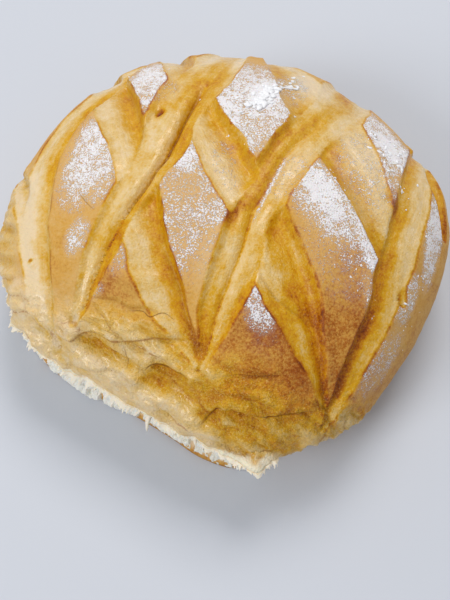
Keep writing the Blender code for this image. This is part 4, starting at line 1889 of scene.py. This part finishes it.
@dataclass
class LipTatters:
    """The torn lip's thin skin: a ragged strip along it, and shreds of crumb that hang from it.

    The first shreds are long ones, given by length and width in millimetres and by angle.
    """

    form: LoafForm
    crust: GoldenCrust
    finish: TatterFinish = field(default_factory=TatterFinish)
    columns: int = 1500
    rows: int = 14
    inner_sweep: float = 0.96
    root: float = 3.0
    thickness: float = 1.3
    longest: float = 4.8
    hang: float = 0.35
    noise_seed: int = 41
    shreds: int = 150
    shred_rings: int = 7
    shred_sides: int = 5
    seed: int = 31
    long_shreds: tuple = ((12.0, 1.7, -112.0), (7.5, 1.4, -115.0), (6.0, 1.3, -98.0))

    def strip(self) -> tuple[Array, Array, Array]:
        """Work out the ragged strip.

        It starts under the crust inside the lip, comes out at the lip and goes on by a length that noise
        changes along it, in a direction between the lip's own and straight out, bending down as it goes.
        Its underside repeats its top lower down, and quads close its two ends.

        Returns:
            Points, quads and the share of the way out of each point.
        """
        form, noise = self.form, Noise(self.noise_seed)
        start, end = math.radians(form.tear_from + 1.0), math.radians(form.tear_to + 1.5)
        angle = np.linspace(start, end, self.columns)
        crown = np.ones(self.columns, bool)
        lip = self.crust.fields(angle, np.ones(self.columns), crown)[0]
        inside = self.crust.fields(angle, np.full(self.columns, self.inner_sweep), crown)[0]
        straight = np.stack((np.cos(angle), np.sin(angle), 0.0 * angle), axis=1)
        out = unit(self.hang * unit(lip - inside) + straight)
        ends = fade(angle, start, start + 0.06) * (1.0 - fade(angle, end - 0.02, end))
        rag = 0.5 + 3.4 * noise.layered(lip, 9.0, 2) + 5.5 * np.abs(noise.layered(lip, 2.1, 3, 0.75))
        rag = np.clip(rag, 0.05, self.longest) * ends
        droop = 0.5 + 0.5 * noise(lip + 9.0, 12.0)
        share = np.linspace(0.0, 1.0, self.rows)[:, None]
        reach = -self.root + share * (self.root + rag)
        spread = np.repeat(lip, self.rows, axis=0)
        wave = 0.7 * noise(spread + reach.T.reshape(-1, 1), 3.0).reshape(self.columns, self.rows).T
        past = np.clip(reach, 0.0, None)
        top = lip[None] + out[None] * reach[..., None]
        top[..., 2] += wave * fade(reach, 0.0, 1.5) - past * (0.25 + 0.4 * droop) - 0.05 * past**2
        top[..., 2] -= 0.25 * (1.0 - fade(reach, -1.0, 0.2))
        thin = self.thickness * (1.0 - 0.6 * share) * (0.8 + 0.5 * np.abs(wave))
        bottom = top - np.array([0.0, 0.0, 1.0]) * thin[..., None] - out[None] * 0.3 * thin[..., None]
        loop = np.concatenate((top, bottom[::-1]))
        outwards = np.clip(reach / self.root, 0.0, 1.0)
        outwards = np.concatenate((outwards, outwards[::-1]))
        quads = rings_of_faces(2 * self.rows, self.columns, closed_rows=True, closed_columns=False)
        row = np.arange(self.rows - 1)
        under = 2 * self.rows - 1 - row
        first_end = np.stack((row, under, under - 1, row + 1), axis=1) * self.columns
        last_end = first_end[:, ::-1] + self.columns - 1
        return loop.reshape(-1, 3), np.vstack((quads, first_end, last_end)), outwards.ravel()

    def hanging_shreds(self) -> tuple[Array, Array, Array, Array]:
        """Work out small tapering strips of crumb that hang from the lip, each a five-sided curved spike.

        Returns:
            Points, quads, triangles and the share of the way out of each point.
        """
        form, draw = self.form, np.random.default_rng(self.seed)
        rings, sides, long = self.shred_rings, self.shred_sides, len(self.long_shreds)
        start, end = math.radians(form.tear_from + 6.0), math.radians(form.tear_to - 1.0)
        angle = draw.uniform(start, end, self.shreds)
        length = draw.uniform(1.2, 4.2, self.shreds)
        width = draw.uniform(0.5, 1.5, self.shreds)
        length[:long], width[:long], degrees = np.transpose(self.long_shreds)
        angle[:long] = np.radians(degrees)
        share = np.linspace(0.0, 1.0, rings)[None, :]
        start_sweep = draw.uniform(1.0, 1.12, self.shreds)
        root = form.place(angle, start_sweep, np.zeros(self.shreds, bool))
        out = np.stack((np.cos(angle), np.sin(angle), 0.0 * angle), axis=1)
        aside = np.stack((-np.sin(angle), np.cos(angle), 0.0 * angle), axis=1)
        lean = draw.uniform(0.1, 0.9, (self.shreds, 1))
        lean[:long] = 1.0
        sway = draw.uniform(-0.6, 0.6, (self.shreds, 1))
        far = (length[:, None] * share)[..., None]
        spine = root[:, None] - 0.8 * out[:, None]
        spine = spine + out[:, None] * far * lean[..., None] * (1.0 - 0.35 * share[..., None])
        spine = spine + aside[:, None] * far * sway[..., None] * share[..., None]
        spine[..., 2] -= far[..., 0] * (0.35 + 0.65 * share)
        taper = (width[:, None] * (1.0 - share) ** 0.6 + 0.12)[:, :, None]
        turn = np.linspace(0.0, 2.0 * np.pi, sides, endpoint=False)[None, None, :]
        rough = draw.uniform(0.7, 1.3, (self.shreds, rings, sides))
        round_aside = (np.cos(turn) * taper * rough)[..., None] * aside[:, None, None]
        round_out = (np.sin(turn) * taper * rough * 0.5)[..., None] * out[:, None, None]
        points = (spine[:, :, None] + round_aside + round_out).reshape(-1, 3)
        quads = repeated(rings_of_faces(rings, sides)[:, ::-1], rings * sides, self.shreds)
        ends = repeated(closed_ends(rings, sides)[:, ::-1], rings * sides, self.shreds)
        return points, quads, ends, np.tile(np.repeat(share[0], sides), self.shreds)

    def build(self) -> bpy.types.Object:
        """Join the strip and the shreds into one piece.

        Returns:
            The tatters.
        """
        strip_points, strip_quads, strip_out = self.strip()
        shred_points, shred_quads, shred_ends, shred_out = self.hanging_shreds()
        points = np.vstack((strip_points, shred_points))
        quads = np.vstack((strip_quads, shred_quads + len(strip_points)))
        reach = np.concatenate((strip_out, 0.5 + 0.5 * shred_out))
        ends = shred_ends + len(strip_points)
        tatters = make_piece("lip_tatters", self.form.centred(points), quads, ends, {"reach": reach})
        tatters.data.materials.append(self.finish.material())
        LOG.info("lip_tatters: %d faces", len(tatters.data.polygons))
        return tatters


@dataclass
class FlourLumps:
    """Lumps of caked flour, each a low, rough ball half sunk into the crust."""

    crust: bpy.types.Object
    form: LoafForm
    finish: FlourFinish = field(default_factory=FlourFinish)
    seed: int = 53
    rings: int = 6
    sides: int = 8
    least_upward: float = 0.15
    out_of_reach: float = 10000.0
    scatter: float = 0.42
    least_size: float = 0.3
    size_power: float = 1.6
    pole: float = 0.08
    rough: tuple = (0.72, 1.2)
    stretch: tuple = (0.6, 1.5)
    flatness: float = 0.36
    stand: float = 0.12

    def scattered(self, draw: np.random.Generator, surface: Array, facing: Array) -> tuple[Array, Array]:
        """Choose a point of the crust's upper side for each lump: the nearest to a normal draw in its patch.

        Args:
            draw: the random numbers.
            surface: the crust's points in millimetres.
            facing: their normals.

        Returns:
            The numbers of the chosen points, and the radius of each lump.
        """
        plan_x, plan_y = self.form.plan(surface + np.array([*self.form.footprint_middle, 0.0]))
        plan_x = np.where(facing[:, 2] > self.least_upward, plan_x, self.out_of_reach)
        spots, sizes = [], []
        for patch, count, largest in FLOUR_LUMPS:
            turn = math.radians(patch.turn)
            off = draw.normal(0.0, self.scatter, (count, 2)) * (patch.long, patch.wide)
            x = patch.x + off[:, 0] * math.cos(turn) - off[:, 1] * math.sin(turn)
            y = patch.y + off[:, 0] * math.sin(turn) + off[:, 1] * math.cos(turn)
            gap = (plan_x[None] - x[:, None]) ** 2 + (plan_y[None] - y[:, None]) ** 2
            spots.append(gap.argmin(axis=1))
            sizes.append(largest * draw.uniform(self.least_size, 1.0, count) ** self.size_power)
        return np.concatenate(spots), np.concatenate(sizes)

    def build(self) -> bpy.types.Object:
        """Scatter the lumps over their patches, on the crust's own points, each a ball of rough radii.

        Returns:
            The lumps as one piece.
        """
        draw, mesh = np.random.default_rng(self.seed), self.crust.data
        surface = np.zeros(len(mesh.vertices) * 3, np.float32)
        mesh.vertices.foreach_get("co", surface)
        surface = surface.reshape(-1, 3) / MM
        facing = np.zeros(len(mesh.vertices) * 3, np.float32)
        mesh.vertex_normals.foreach_get("vector", facing)
        facing = facing.reshape(-1, 3)
        spot, size = self.scattered(draw, surface, facing)
        middle, normal = surface[spot].astype(float), facing[spot].astype(float)

        count = len(spot)
        aside = unit(np.cross(normal, (0.3, 1.0, 0.2)))
        ahead = np.cross(normal, aside)
        polar = np.linspace(self.pole, np.pi - self.pole, self.rings)[None, :, None]
        turn = np.linspace(0.0, 2.0 * np.pi, self.sides, endpoint=False)[None, None, :]
        radius = draw.uniform(*self.rough, (count, self.rings, self.sides)) * size[:, None, None]
        stretch = draw.uniform(*self.stretch, (count, 1, 1))
        along = radius * np.sin(polar) * np.cos(turn) * stretch
        over = radius * np.sin(polar) * np.sin(turn) / stretch
        up = radius * np.cos(polar) * self.flatness + self.stand * size[:, None, None]
        points = middle[:, None, None] + along[..., None] * aside[:, None, None]
        points = points + over[..., None] * ahead[:, None, None] + up[..., None] * normal[:, None, None]
        block = self.rings * self.sides
        quads = repeated(rings_of_faces(self.rings, self.sides), block, count)
        ends = repeated(closed_ends(self.rings, self.sides), block, count)
        lumps = make_piece("flour_lumps", points.reshape(-1, 3), quads, ends)
        lumps.data.materials.append(self.finish.material())
        LOG.info("flour_lumps: %d lumps", count)
        return lumps


@dataclass
class Studio:
    """A pale floor, soft light from the back right, and the camera above the front of the loaf."""

    elevation: float = 66.0
    distance: float = 0.3955
    lens: float = 48.0
    sensor: float = 36.0
    target: tuple = (-0.0003, -0.0264, 0.030)
    floor_colour: Colour = painted(200, 203, 210)
    key_power: float = 28.0
    key_place: tuple = (0.35, 1.30, 1.90)
    key_size: float = 1.0
    fill_power: float = 20.0
    fill_place: tuple = (-1.5, -0.90, 1.25)
    fill_size: float = 0.8
    sky: Colour = (0.93, 0.95, 1.0)
    sky_strength: float = 0.48

    def add_camera(self) -> None:
        """Set the camera back from its target, looking down at the photograph's angle."""
        tilt = math.radians(self.elevation)
        data = bpy.data.cameras.new("camera")
        data.lens = self.lens
        data.sensor_width = self.sensor
        data.sensor_fit = "AUTO"
        camera = bpy.data.objects.new("camera", data)
        bpy.context.scene.collection.objects.link(camera)
        away = Vector((0.0, -math.cos(tilt), math.sin(tilt)))
        camera.location = Vector(self.target) + self.distance * away
        camera.rotation_euler = (math.pi / 2 - tilt, 0.0, 0.0)
        bpy.context.scene.camera = camera

    def add_light(self, name: str, power: float, place: tuple, size: float, colour: Colour) -> None:
        """Hang a square soft light that faces the loaf.

        Args:
            name: the light's name.
            power: its power in watts.
            place: where it hangs, in metres.
            size: the length of its side, in metres.
            colour: its colour.
        """
        data = bpy.data.lights.new(name, "AREA")
        data.energy = power
        data.size = size
        data.color = colour
        light = bpy.data.objects.new(name, data)
        bpy.context.scene.collection.objects.link(light)
        light.location = place
        light.rotation_euler = (Vector((0.0, 0.0, 0.03)) - Vector(place)).to_track_quat("-Z", "Y").to_euler()

    def add_floor(self) -> None:
        """Lay the plain pale floor."""
        half = 3000.0
        corners = np.array([(-half, -half, 0.0), (half, -half, 0.0), (half, half, 0.0), (-half, half, 0.0)])
        mesh = bpy.data.meshes.new("floor")
        mesh.from_pydata((corners * MM).tolist(), [], [(0, 1, 2, 3)])
        floor = bpy.data.objects.new("floor", mesh)
        bpy.context.scene.collection.objects.link(floor)
        shader = Shader("pale_floor")
        shader.finish(self.floor_colour, 0.8)
        mesh.materials.append(shader.material)

    def build(self) -> None:
        """Set up the camera, the lights, the sky and the floor."""
        self.add_camera()
        self.add_light("key", self.key_power, self.key_place, self.key_size, (1.0, 0.99, 0.97))
        self.add_light("fill", self.fill_power, self.fill_place, self.fill_size, (0.92, 0.96, 1.0))
        world = bpy.data.worlds.new("sky")
        bpy.context.scene.world = world
        world.use_nodes = True
        background = world.node_tree.nodes["Background"]
        background.inputs["Color"].default_value = (*self.sky, 1.0)
        background.inputs["Strength"].default_value = self.sky_strength
        bpy.context.scene.view_settings.view_transform = "Standard"
        self.add_floor()
        LOG.info("studio: camera at %.0f degrees", self.elevation)


def main() -> None:
    """Load the frame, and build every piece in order."""
    logging.basicConfig(level=logging.INFO, format="%(name)s: %(message)s")
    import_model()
    form = LoafForm()
    crust = GoldenCrust(form)
    surface = crust.build()
    TornCrumb(form).build()
    LipTatters(form, crust).build()
    FlourLumps(surface, form).build()
    Studio().build()


if __name__ == "__main__":
    main()
